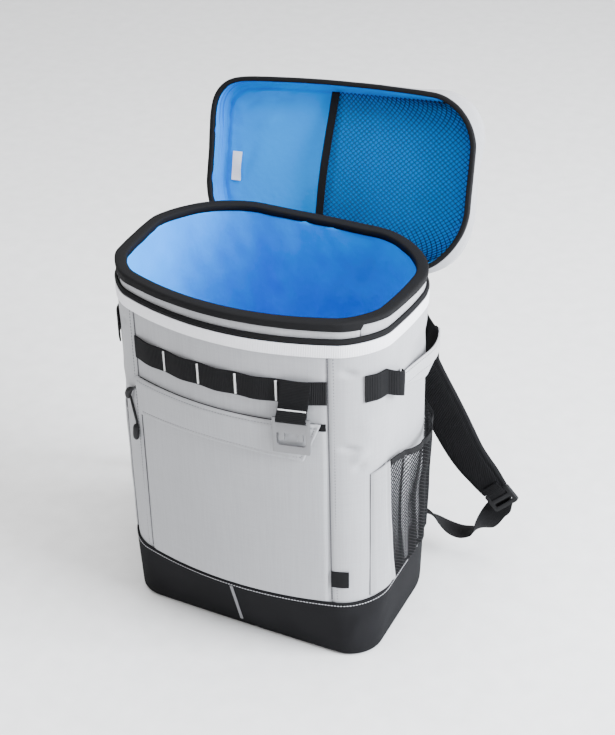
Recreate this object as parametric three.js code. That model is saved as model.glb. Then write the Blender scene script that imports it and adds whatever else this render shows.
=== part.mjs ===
// Cooler backpack with its lid open, in millimetres, +Z up, front face towards -Y.
// The origin is the middle of the base's underside.
import * as THREE from 'three';

// Clearance between pieces that touch on the real bag
const gap = 0.35;

// Body outlines, seen from above, at three heights
const foot = { halfWidth: 140, depth: 203, frontRadius: 32, bulge: 0, sideBulge: 0, shift: 6 };
const boot = { halfWidth: 145, depth: 191.5, frontRadius: 35, bulge: 28, sideBulge: 0, shift: 4 };
const mouth = { halfWidth: 141, depth: 179, frontRadius: 30, bulge: 37, sideBulge: 10, shift: 0 };
const backRadius = 80;
const bootHeight = 75.5;
const bodyHeight = 380;
const footRoll = 5;

// Walls and trim
const wall = 8;
const lining = 1.2;
const bootCloth = 1.8;
const bootFloor = 3;
const pipingSize = 1.3;
const pipingDrop = 3.3;
const stripeWidth = 3.4;
const stripeX = -3.3;
const bandHeight = 12.7;
const bandCloth = 1.2;
const zipHeight = 5.6;
const zipDepth = 3.4;
const collarInset = 2.2;
const collarHeight = 21.5;
const bindingCloth = 1.2;
const bindingLeg = 6.5;

// Lid: a shallow tray, opened about the back edge of the mouth
const lid = { halfWidth: 148.4, depth: 183.1, frontRadius: 50.5, bulge: 6.6, sideBulge: 0, shift: 0 };
const lidBackRadius = 76;
const lidOpening = 110;
const lidRoll = 3.8;
const lidHinge = { x: 5.2, behind: 11.3, below: 41.4 };
const lidDepth = 28;
const lidWall = 3.5;
const lidEdgeRoll = 8;
const lidCrown = 4;
const lidLegDepth = 6;
const hingeHalfWidth = 58;
const hingeCloth = 1.5;

// Net pocket and care label inside the lid
const netCloth = 0.8;
const netSlack = 7.5;
const netMouthX = -18;
const netLean = 9;
const netEdge = 14;
const netStripWidth = 8.5;
const careLabel = { x: -124, y: 90, width: 11, height: 31, cloth: 0.6 };

// Front: webbing, opener and pocket
const seamHalf = 103;
const webbingTall = 25;
const webbingCloth = 1.6;
const webbingTop = bodyHeight - 39.5;
const tackPitch = 40;
const firstTackX = -63;
const loopRise = 1.8;
const loopWidth = 29;
const loopTopX = 76;
const loopCloth = 1.5;
const loopOverlap = { above: 1, below: 2 };
const openerX = 71.5;
const openerTurn = 12.8;
const openerBarDrop = 39;
const openerStandOff = 4;
const bar = { thick: 2.4, radiusGap: 0.45 };
const plate = { width: 36.5, height: 37.5, thick: 2.2, slotMargin: 0.7, shoulder: 11.3, window: 14 };
const plateCorner = 4;
const windowWidth = 28;
const toothWidth = 5;
const toothDrop = 8;
const pocketCloth = 1.8;
const pocketInset = 1.5;
const flapCloth = 1.5;
const flapTop = bodyHeight - 86.5;
const flapHeight = 37;
const flapEnds = { topLeft: -105, topRight: 97, bottomLeft: -99, bottomRight: 81 };
const flapSag = 5;
const pocketZipHeight = 8;
const pull = { length: 66, below: 12.5, x: -104.8, sway: 13 };
const tab = { width: 16, height: 20, bottom: 96, lift: 1.5, cloth: 1 };

// Side pockets
const sideBottom = bootHeight + 3;
const sidePocketHeight = 140;
const sidePanelFront = -82;
const sidePanelWidth = 19;
const sidePanelFlare = 17;
const sidePanelRise = 12;
const sidePanelLift = 2.4;
const sideNetBack = 76;
const sideNetSlack = 9;
const sideNetFootSlack = 0.35;
const sideNetDip = 12;
const sideBindingHeight = 6.5;
const sideCloth = 1.6;

// Grips and wings on the sides
const gripTop = bodyHeight - 36;
const grip = { front: -87, back: -40, drop: 18, tall: 30, endTall: 22, rise: 3.4, cloth: 1.8 };
const wingTop = bodyHeight - 55;
const wing = { front: -37, back: 54, drop: 8, frontTall: 19, backTall: 48, lift: 14, cloth: 2.2 };
const wingTab = { length: 9, tall: 14 };

// Shoulder straps
const strapTop = { x: 86, z: bodyHeight - 64 };
const strapFlare = 112;
const strapDrop = 222;
const strapStandOff = 22;
const strapWidth = 54;
const strapThick = 9;
const strapClear = 1;
const buckleSize = { width: 34, height: 22, thick: 4, bar: 4.7 };
const lowerWebbing = { width: 25, cloth: 1.6, rootZ: 54, rootForward: 9, sag: 36, swing: 2, fall: 14 };

// Colours as on the bag
function cloth(name, color, roughness = 0.85, metalness = 0) {
  return new THREE.MeshStandardMaterial({ name, color, roughness, metalness });
}
const grey = cloth('grey_cloth', 0xb9bbc0);
const black = cloth('black_webbing', 0x242427);
const coated = cloth('black_coated', 0x1d1d20, 0.55);
const blue = cloth('blue_lining', 0x57a6f0, 0.5);
const white = cloth('white_band', 0xebebef);
const net = cloth('black_net', 0x1a1a1d);
const metal = cloth('satin_metal', 0xaeb0b3, 0.35, 0.9);
const plastic = cloth('black_plastic', 0x161618, 0.4);

const degrees = THREE.MathUtils.degToRad;
const lerp = THREE.MathUtils.lerp;
const share = (t, from, to) => THREE.MathUtils.clamp((t - from) / (to - from), 0, 1);
const hump = (t) => Math.sin(Math.PI * THREE.MathUtils.clamp(t, 0, 1)) ** 2;
const steps = (count) => Array.from({ length: count + 1 }, (_, i) => i / count);

const group = new THREE.Group();

function add(name, geometry, material, parent = group) {
  const mesh = new THREE.Mesh(geometry, material);
  mesh.name = name;
  parent.add(mesh);
  return mesh;
}

// A closed solid through rings of equally many points: closed joins the last ring to the first,
// otherwise both ends are covered. The faces' diagonals rise the same way whichever way the rings
// run, so that nested walls stay parallel.
function loft(rings, closed = false) {
  const n = rings[0].length;
  const index = [];
  const at = (ring, k) => (ring % rings.length) * n + (k % n);
  const bands = closed ? rings.length : rings.length - 1;
  for (let r = 0; r < bands; r++) {
    const rising = rings[(r + 1) % rings.length][0].z >= rings[r][0].z;
    for (let k = 0; k < n; k++) {
      const [a, b, c, d] = [at(r, k), at(r, k + 1), at(r + 1, k + 1), at(r + 1, k)];
      index.push(...(rising ? [a, b, c, a, c, d] : [a, b, d, b, c, d]));
    }
  }
  if (!closed) {
    const last = (rings.length - 1) * n;
    for (let k = 0; k < n / 2 - 1; k++) {
      const [a, b, c, d] = [k, k + 1, n - 2 - k, n - 1 - k];
      index.push(a, d, c, a, c, b);
      index.push(last + a, last + b, last + c, last + a, last + c, last + d);
    }
  }
  const points = rings.flat();
  if (volume(points, index) < 0) index.reverse();
  const geometry = new THREE.BufferGeometry().setFromPoints(points);
  geometry.setIndex(index);
  geometry.computeVertexNormals();
  return geometry;
}

function volume(points, index) {
  let sum = 0;
  for (let i = 0; i < index.length; i += 3) {
    const [a, b, c] = [points[index[i]], points[index[i + 1]], points[index[i + 2]]];
    sum += a.dot(new THREE.Vector3().crossVectors(b, c));
  }
  return sum;
}

// Right half of an outline, from the middle of the back round to the middle of the front.
// detail multiplies the number of points on each stretch.
function halfOutline(section, cornerRadius, detail = 1) {
  const { halfWidth: w, frontRadius: r, bulge, sideBulge, shift } = section;
  const back = section.depth / 2;
  const at = (x, y) => new THREE.Vector2(x, y);
  const arc = (x, y, radius, from, to) => new THREE.EllipseCurve(x, y, radius, radius, from, to, true);
  const runs = [
    [new THREE.LineCurve(at(0, back), at(w - cornerRadius, back)), 2],
    [arc(w - cornerRadius, back - cornerRadius, cornerRadius, Math.PI / 2, 0), 6],
    [new THREE.LineCurve(at(w, back - cornerRadius), at(w, r - back)), 3],
    [arc(w - r, r - back, r, 0, -Math.PI / 2), 5],
    [new THREE.LineCurve(at(w - r, -back), at(0, -back)), 6],
  ];
  const points = runs.flatMap(([curve, count], i) => curve.getPoints(count * detail).slice(i ? 1 : 0));
  return points.map((p) => {
    const across = Math.abs(p.x / w);
    const forward = THREE.MathUtils.clamp(-p.y / back, 0, 1);
    const x = p.x + sideBulge * (1 - (p.y / back) ** 2) * across ** 4;
    return new THREE.Vector2(x, p.y - bulge * (1 - across ** 2) * forward + shift);
  });
}

// Outward direction of a half outline at point i
function outward(points, i) {
  if (i === 0) return new THREE.Vector2(0, 1);
  if (i === points.length - 1) return new THREE.Vector2(0, -1);
  const along = points[i + 1].clone().sub(points[i - 1]).normalize();
  return new THREE.Vector2(-along.y, along.x);
}

// Whole outline moved outwards by out and set at height z
function ringOf(half, z, out, dent = () => 0) {
  const right = half.map((p, i) => {
    const direction = outward(half, i);
    const reach = out - dent(p.y);
    return new THREE.Vector3(p.x + direction.x * reach, p.y + direction.y * reach, z);
  });
  const left = right.slice(1, -1).reverse();
  return [...right, ...left.map((p) => new THREE.Vector3(-p.x, p.y, p.z))];
}

// The body's outline at height z, between the three given ones
function sectionAt(z) {
  const [from, to, t] = z < bootHeight
    ? [foot, boot, z / bootHeight]
    : [boot, mouth, share(z, bootHeight, bodyHeight)];
  return Object.fromEntries(Object.keys(from).map((key) => [key, lerp(from[key], to[key], t)]));
}

// Dents of the padded sides, as shares: place and reach of the mouth's depth and the body's height,
// depth of the wall
const dents = [
  { y: -0.12, z: 0.7, reachY: 0.4, reachZ: 0.16, depth: 0.4 },
  { y: 0.05, z: 0.42, reachY: 0.3, reachZ: 0.1, depth: 0.2 },
];
function dentAt(y, z) {
  return dents.reduce((sum, d) => {
    const across = (y / mouth.depth - d.y) / d.reachY;
    const up = (z / bodyHeight - d.z) / d.reachZ;
    return sum + d.depth * wall * hump((across + 1) / 2) * hump((up + 1) / 2);
  }, 0);
}

const ring = (z, out = 0) => ringOf(halfOutline(sectionAt(z), backRadius), z, out);
const dentedRing = (z, out) => ringOf(halfOutline(sectionAt(z), backRadius), z, out, (y) => dentAt(y, z));

// A band round the body: profile lists [out, z] corners, anticlockwise or not
function bandRound(profile) {
  const rings = profile.map(([out, z]) => ring(z, out));
  return loft(rings[0].map((_, i) => rings.map((r) => r[i])), true);
}

// A point on the body's wall at height z. On the front it is found by x, on a side by y.
const fineDetail = 6;
const fineCache = new Map();
function fineHalf(z) {
  const key = z.toFixed(3);
  if (!fineCache.has(key)) fineCache.set(key, halfOutline(sectionAt(z), backRadius, fineDetail));
  return fineCache.get(key);
}
function wallPoint(half, k, t, z, out, sign) {
  const a = half[k];
  const b = half[k - 1];
  const n = outward(half, k).lerp(outward(half, k - 1), t).normalize();
  const y = lerp(a.y, b.y, t);
  const reach = out - dentAt(y, z) * share(Math.abs(a.x), seamHalf, mouth.halfWidth);
  return new THREE.Vector3(sign * (lerp(a.x, b.x, t) + n.x * reach), y + n.y * reach, z);
}
function onFront(x, z, out) {
  const half = fineHalf(z);
  let k = half.length - 1;
  while (k > 1 && half[k - 1].x < Math.abs(x)) k -= 1;
  const t = share(Math.abs(x), half[k].x, half[k - 1].x);
  return wallPoint(half, k, t, z, out, x < 0 ? -1 : 1);
}
function onSide(y, z, out, sign) {
  const half = fineHalf(z);
  let k = half.length - 1;
  while (k > 1 && half[k - 1].y < y) k -= 1;
  const t = share(y, half[k].y, half[k - 1].y);
  return wallPoint(half, k, t, z, out, sign);
}

// A cloth panel: for each station, place(t, v, face) gives the point at height share v on the
// inner (face 0) or the outer side (face 1)
function panel(stations, heights, place) {
  return loft(stations.map((t) => [
    ...heights.map((v) => place(t, v, 0)),
    ...[...heights].reverse().map((v) => place(t, v, 1)),
  ]));
}

// A flat strap through stations { centre, across, thick }, both vectors half as long as the side
function strip(stations) {
  return loft(stations.map(({ centre, across, thick }) => [
    centre.clone().sub(across).sub(thick),
    centre.clone().add(across).sub(thick),
    centre.clone().add(across).add(thick),
    centre.clone().sub(across).add(thick),
  ]));
}

// Body, from the foot up
const floorTop = bootFloor + gap;
const bodyLevels = [0.29, 0.39, 0.5, 0.59, 0.67, 0.75, 0.83, 0.91, 1];
add('body_shell', loft([
  ring(floorTop, 0),
  ring(bootHeight, 0),
  ...bodyLevels.map((s) => dentedRing(s * bodyHeight, 0)),
  ring(bodyHeight, -wall),
  ring(bootHeight, -wall),
  ring(floorTop + wall, -wall),
]), grey);

const liningOut = -wall - gap;
const liningIn = liningOut - lining;
const linerFloor = floorTop + wall + gap;
const collarBase = bodyHeight + gap;
const collarTop = bodyHeight + collarHeight;
add('liner', loft([
  ring(linerFloor, liningOut),
  ring(bootHeight, liningOut),
  ring(bodyHeight, liningOut),
  ring(collarTop, liningOut),
  ring(collarTop, liningIn),
  ring(bodyHeight, liningIn),
  ring(bootHeight, liningIn),
  ring(linerFloor + lining, liningIn),
]), blue);

const bootOut = gap + bootCloth;
add('base_boot', loft([
  ring(0, bootOut - footRoll),
  ring(0.3 * footRoll, bootOut - 0.3 * footRoll),
  ring(footRoll, bootOut),
  ring(bootHeight, bootOut),
  ring(bootHeight, gap),
  ring(bootFloor, gap),
]), coated);

const pipingZ = bootHeight - pipingDrop;
add('boot_piping', bandRound([
  [bootOut + gap, pipingZ],
  [bootOut + gap + pipingSize / 2, pipingZ - pipingSize / 2],
  [bootOut + gap + pipingSize, pipingZ],
  [bootOut + gap + pipingSize / 2, pipingZ + pipingSize / 2],
]), grey);

const stripeFoot = 2 * footRoll;
const stripeTop = pipingZ - pipingSize;
add('boot_stripe', panel(steps(4), [0, 1], (t, v, face) => {
  const z = lerp(stripeFoot, stripeTop, t);
  return onFront(stripeX + (v - 0.5) * stripeWidth, z, bootOut + gap + face * pipingSize / 2);
}), grey);

const bandOut = gap + bandCloth;
const bandBase = bodyHeight - bandHeight;
add('white_band', bandRound([
  [gap, bandBase], [bandOut, bandBase], [bandOut, bodyHeight], [gap, bodyHeight],
]), white);

const zipIn = gap - collarInset;
add('body_zip', bandRound([
  [zipIn, collarBase], [zipIn + zipDepth, collarBase],
  [zipIn + zipDepth, collarBase + zipHeight], [zipIn, collarBase + zipHeight],
]), black);

add('collar', bandRound([
  [-wall, collarBase], [-collarInset, collarBase], [-collarInset, collarTop], [-wall, collarTop],
]), grey);

const rimTop = collarTop + gap + bindingCloth;
const rimOut = gap - collarInset;
const rimIn = liningIn - gap;
add('rim_binding', bandRound([
  [rimOut + bindingCloth, rimTop - bindingLeg],
  [rimOut + bindingCloth, rimTop],
  [rimIn - bindingCloth, rimTop],
  [rimIn - bindingCloth, rimTop - bindingLeg],
  [rimIn, rimTop - bindingLeg],
  [rimIn, collarTop + gap],
  [rimOut, collarTop + gap],
  [rimOut, rimTop - bindingLeg],
]), black);

// Lid, in its own frame: X along the hinge, Y to the free edge, Z out of the open tray
const backFace = mouth.depth / 2 + mouth.shift;
const lidGroup = new THREE.Group();
lidGroup.position.set(lidHinge.x, backFace + lidHinge.behind, bodyHeight - lidHinge.below);
lidGroup.rotation.set(degrees(180 - lidOpening), 0, degrees(lidRoll));
group.add(lidGroup);

const lidHalf = halfOutline(lid, lidBackRadius);
const lidHalfY = lid.depth / 2;
function lidRing(z, out, scale = 1) {
  return ringOf(lidHalf, z, out).map((p) => {
    return new THREE.Vector3(p.x * scale, lidHalfY - p.y * scale, z);
  });
}
function lidBand(profile) {
  const rings = profile.map(([out, z]) => lidRing(z, out));
  return loft(rings[0].map((_, i) => rings.map((r) => r[i])), true);
}
const lidOut = -bindingCloth - gap;
const lidFace = lidOut;
const lidIn = lidOut - lidWall;
const lidLiningOut = lidIn - gap;
const lidLiningIn = lidLiningOut - lining;
const lidInnerFloor = lidWall - lidDepth;
add('lid_shell', loft([
  lidRing(-lidDepth - lidCrown, lidOut, 0.45),
  lidRing(-lidDepth - 0.7 * lidCrown, lidOut, 0.75),
  lidRing(-lidDepth, lidOut - lidEdgeRoll),
  lidRing(-lidDepth + 0.3 * lidEdgeRoll, lidOut - 0.3 * lidEdgeRoll),
  lidRing(-lidDepth + lidEdgeRoll, lidOut),
  lidRing(lidFace, lidOut),
  lidRing(lidFace, lidIn),
  lidRing(lidInnerFloor + lidEdgeRoll, lidIn),
  lidRing(lidInnerFloor, lidIn - lidEdgeRoll),
]), grey, lidGroup);
const lidFloor = lidInnerFloor + gap + lining;
add('lid_liner', loft([
  lidRing(lidInnerFloor + gap, lidLiningOut - lidEdgeRoll),
  lidRing(lidInnerFloor + gap + lidEdgeRoll, lidLiningOut),
  lidRing(lidFace, lidLiningOut),
  lidRing(lidFace, lidLiningIn),
  lidRing(lidFloor + lidEdgeRoll, lidLiningIn),
  lidRing(lidFloor, lidLiningIn - lidEdgeRoll),
]), blue, lidGroup);
add('lid_binding', lidBand([
  [0, -lidLegDepth], [0, 0], [lidLiningIn, 0], [lidLiningIn, -bindingCloth],
  [-bindingCloth, -bindingCloth], [-bindingCloth, -lidLegDepth],
]), black, lidGroup);

// Net pocket: its mouth runs from the hinge side to the free edge, leaning with the strip
const netOutline = halfOutline(lid, lidBackRadius, fineDetail)
  .map((p, i, all) => p.clone().addScaledVector(outward(all, i), lidLiningIn - netEdge));
const netLow = lidHalfY - netOutline[0].y;
const netHigh = lidHalfY - netOutline[netOutline.length - 1].y;
function netRight(y) {
  const k = netOutline.findIndex((p) => lidHalfY - p.y >= y && p.x > 0);
  return netOutline[Math.max(k, 1)].x;
}
const netMouth = (v) => netMouthX + netLean * (v - 0.5);
const netBase = lidFloor + gap;
add('lid_net', panel(steps(8), steps(6), (t, v, face) => {
  const y = lerp(netLow + netEdge, netHigh - lidEdgeRoll, v);
  const x = lerp(netMouth(v), netRight(y), t);
  const rise = netSlack * Math.cos(0.5 * Math.PI * t) * hump(0.1 + 0.8 * v);
  return new THREE.Vector3(x, y, netBase + rise + face * netCloth);
}), net, lidGroup);
add('lid_net_binding', panel([0, 1], steps(6), (t, v, face) => {
  const y = lerp(netLow + netEdge, netHigh - lidEdgeRoll, v);
  const x = netMouth(v) + (t - 0.5) * netStripWidth;
  const rise = netSlack * hump(0.1 + 0.8 * v) + netCloth + gap;
  return new THREE.Vector3(x, y, netBase + rise + face * bindingCloth);
}), black, lidGroup);
const labelSolid = new THREE.BoxGeometry(careLabel.width, careLabel.height, careLabel.cloth);
labelSolid.translate(careLabel.x, careLabel.y, lidFloor + gap + careLabel.cloth / 2);
add('care_label', labelSolid, white, lidGroup);

// Hinge strip: from the back of the mouth down behind it, then under the lid's lower wall
lidGroup.updateMatrixWorld(true);
const lidPoint = (x, y, z) => lidGroup.localToWorld(new THREE.Vector3(x, y, z));
const backAt = (z) => sectionAt(z).depth / 2 + sectionAt(z).shift;
const onBack = (x, z, face) => {
  return new THREE.Vector3(x + lidHinge.x, backAt(z) + bandOut + gap + face * hingeCloth, z);
};
const underLid = (x, z, face) => lidPoint(x, -gap - (1 - face) * hingeCloth, z);
const hingeRoute = [
  { place: onBack, z: bodyHeight - gap },
  { place: onBack, z: bandBase },
  { place: underLid, z: 2 },
  { place: underLid, z: -lidLegDepth },
  { place: underLid, z: -0.55 * lidDepth },
];
add('hinge_strip', loft(hingeRoute.map(({ place, z }) => [
  place(-hingeHalfWidth, z, 0), place(hingeHalfWidth, z, 0),
  place(hingeHalfWidth, z, 1), place(-hingeHalfWidth, z, 1),
])), grey);

// Front webbing, bar tacked at even places so that it stands off in between
const tackEdges = [-seamHalf, ...steps(3).map((s) => firstTackX + 3 * s * tackPitch), seamHalf];
const daisyStations = tackEdges.slice(1).flatMap((right, i) => {
  return steps(4).slice(i ? 1 : 0).map((s) => {
    return { x: lerp(tackEdges[i], right, s), rise: loopRise * hump(s) };
  });
});
add('daisy_webbing', panel(daisyStations, [0, 1], (station, v, face) => {
  const x = THREE.MathUtils.clamp(station.x, gap - seamHalf, seamHalf - gap);
  return onFront(x, webbingTop + (v - 1) * webbingTall, gap + station.rise + face * webbingCloth);
}), black);

// Front pocket: panel, zip above it and the flap over both
const pocketTop = flapTop - pocketZipHeight - gap;
add('pocket_panel', panel(steps(12), steps(3), (t, v, face) => {
  const x = lerp(-1, 1, t) * (seamHalf - pocketInset);
  return onFront(x, lerp(bootHeight + 4 * gap, pocketTop, v), gap + face * pocketCloth);
}), grey);
add('pocket_zip', panel(steps(12), [0, 1], (t, v, face) => {
  const x = lerp(-1, 1, t) * (seamHalf - pocketInset);
  return onFront(x, pocketTop + gap + v * (pocketZipHeight - gap), gap + face * bindingCloth);
}), black);
const flapIn = 2 * gap + pocketCloth;
add('pocket_flap', panel(steps(14), steps(2), (t, v, face) => {
  const top = lerp(flapEnds.topLeft, flapEnds.topRight, t);
  const bottom = lerp(flapEnds.bottomLeft, flapEnds.bottomRight, t);
  const sag = flapSag * (2 * t - 1) ** 2 * (1 - v);
  return onFront(lerp(bottom, top, v), flapTop - flapHeight * (1 - v) - sag, flapIn + face * flapCloth);
}), grey);

// Zip pull: leaves the flap's left end and hangs on the wall, with a knob and a grip. Shares of
// its length and of its sway to the left.
const pullRows = [
  { down: 0, aside: 0, radius: 1.3 },
  { down: 0.08, aside: 0.45, radius: 1.4 },
  { down: 0.14, aside: 0.8, radius: 2.8 },
  { down: 0.25, aside: 1, radius: 3 },
  { down: 0.32, aside: 0.92, radius: 1.5 },
  { down: 0.7, aside: 0.42, radius: 1.5 },
  { down: 0.78, aside: 0.4, radius: 2.8 },
  { down: 0.95, aside: 0.48, radius: 3 },
  { down: 1, aside: 0.5, radius: 1.6 },
];
const pullSides = 8;
add('zip_pull', loft(pullRows.map(({ down, aside, radius }) => {
  const x = pull.x - aside * pull.sway;
  const centre = onFront(x, flapTop - pull.below - down * pull.length, gap + radius);
  return steps(pullSides).slice(1).map((s) => {
    const turn = 2 * Math.PI * s;
    return centre.clone().add(new THREE.Vector3(radius * Math.cos(turn), radius * Math.sin(turn), 0));
  });
})), black);

// Bare label tab in the right seam
add('label_tab', panel(steps(4), [0, 1], (t, v, face) => {
  const x = seamHalf + gap + t * tab.width;
  return onFront(x, tab.bottom + v * tab.height, gap + t * tab.lift + face * tab.cloth);
}), black);

// Bottle opener: a plate on a bar, hung in the webbing loop. Its frame has X along the bar and
// Y into the bag, and its origin is the bar's middle.
const barZ = webbingTop - openerBarDrop;
const holeRadius = bar.thick * Math.SQRT1_2 + bar.radiusGap;
const loopOuter = holeRadius + loopCloth;
const barOut = flapIn + flapCloth + openerStandOff + gap;
const barPoint = onFront(openerX, barZ, barOut);
const openerGroup = new THREE.Group();
openerGroup.position.copy(barPoint);
openerGroup.rotation.z = degrees(openerTurn);
group.add(openerGroup);

const slotLow = -loopOuter - plate.slotMargin;
const slotHalf = loopWidth / 2 + plate.slotMargin;
const plateHalf = plate.width / 2;
const plateLow = slotLow - plate.height + loopOuter;
function rounded(left, bottom, right, top, radius, path = new THREE.Shape()) {
  path.moveTo(left + radius, bottom);
  path.lineTo(right - radius, bottom);
  path.absarc(right - radius, bottom + radius, radius, -Math.PI / 2, 0, false);
  path.lineTo(right, top - radius);
  path.absarc(right - radius, top - radius, radius, 0, Math.PI / 2, false);
  path.lineTo(left + radius, top);
  path.absarc(left + radius, top - radius, radius, Math.PI / 2, Math.PI, false);
  path.lineTo(left, bottom + radius);
  path.absarc(left + radius, bottom + radius, radius, Math.PI, 1.5 * Math.PI, false);
  return path;
}
const plateShape = rounded(-plateHalf, plateLow, plateHalf, bar.thick / 2, bar.thick / 2);
plateShape.holes.push(
  rounded(-slotHalf, slotLow, slotHalf, -bar.thick / 2, 0.5, new THREE.Path()),
);
const windowTop = slotLow - plate.shoulder;
const windowLow = windowTop - plate.window;
const windowHalf = windowWidth / 2;
const toothX = windowHalf - toothWidth;
const opening = new THREE.Path();
opening.moveTo(-windowHalf, windowTop);
opening.lineTo(-windowHalf, windowLow + plateCorner / 2);
opening.lineTo(plateCorner / 2 - windowHalf, windowLow);
opening.lineTo(windowHalf - plateCorner / 2, windowLow);
opening.lineTo(windowHalf, windowLow + plateCorner / 2);
opening.lineTo(windowHalf, windowTop);
opening.lineTo(toothX + toothWidth / 2, windowTop);
opening.lineTo(toothX + toothWidth / 2, windowTop - toothDrop);
opening.lineTo(toothX - toothWidth / 2, windowTop - toothDrop);
opening.lineTo(toothX - toothWidth / 2, windowTop);
opening.lineTo(toothWidth / 2 - toothX, windowTop);
opening.lineTo(toothWidth / 2 - toothX, windowTop - toothDrop);
opening.lineTo(-toothWidth / 2 - toothX, windowTop - toothDrop);
opening.lineTo(-toothWidth / 2 - toothX, windowTop);
plateShape.holes.push(opening);
const plateSolid = new THREE.ExtrudeGeometry(plateShape, {
  depth: plate.thick, bevelEnabled: false, curveSegments: 3,
});
plateSolid.translate(0, 0, -plate.thick / 2);
plateSolid.rotateX(Math.PI / 2);
add('opener', plateSolid, metal, openerGroup);

// Webbing loop: down in front of the bar, round it, and up behind it. toFront is the distance
// towards the viewer from the bar's axis.
const loopMiddle = holeRadius + loopCloth / 2;
const topFront = 3 * gap + loopRise + webbingCloth + loopCloth / 2 - barOut;
const wrap = steps(8).map((s) => {
  const turn = Math.PI * s;
  return { toFront: loopMiddle * Math.cos(turn), z: -loopMiddle * Math.sin(turn) };
});
const loopRoute = [
  { toFront: topFront, z: openerBarDrop + loopOverlap.above },
  { toFront: topFront, z: openerBarDrop - webbingTall - loopOverlap.below },
  { toFront: lerp(topFront, loopMiddle, 0.45), z: loopMiddle * 2.8 },
  { toFront: lerp(topFront, loopMiddle, 0.9), z: loopMiddle * 1.3 },
  ...wrap,
  { toFront: -loopMiddle, z: loopMiddle * 1.6 },
];
const loopStations = loopRoute.map((at, i) => {
  const before = loopRoute[Math.max(i - 1, 0)];
  const after = loopRoute[Math.min(i + 1, loopRoute.length - 1)];
  const tangent = new THREE.Vector3(0, before.toFront - after.toFront, after.z - before.z).normalize();
  const lean = (loopTopX - openerX) * Math.max(at.z, 0) / openerBarDrop;
  return {
    centre: new THREE.Vector3(lean, -at.toFront, at.z),
    across: new THREE.Vector3(loopWidth / 2, 0, 0),
    thick: new THREE.Vector3(0, -tangent.z, tangent.y).multiplyScalar(loopCloth / 2),
  };
});
add('opener_loop', strip(loopStations), black, openerGroup);

// Outline of a padded strap's section, as shares of half its width and half its thickness
const strapCorners = [
  [-1, 0.35], [-0.85, 1], [0.85, 1], [1, 0.35], [1, -0.35], [0.85, -1], [-0.85, -1], [-1, -0.35],
];

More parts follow.
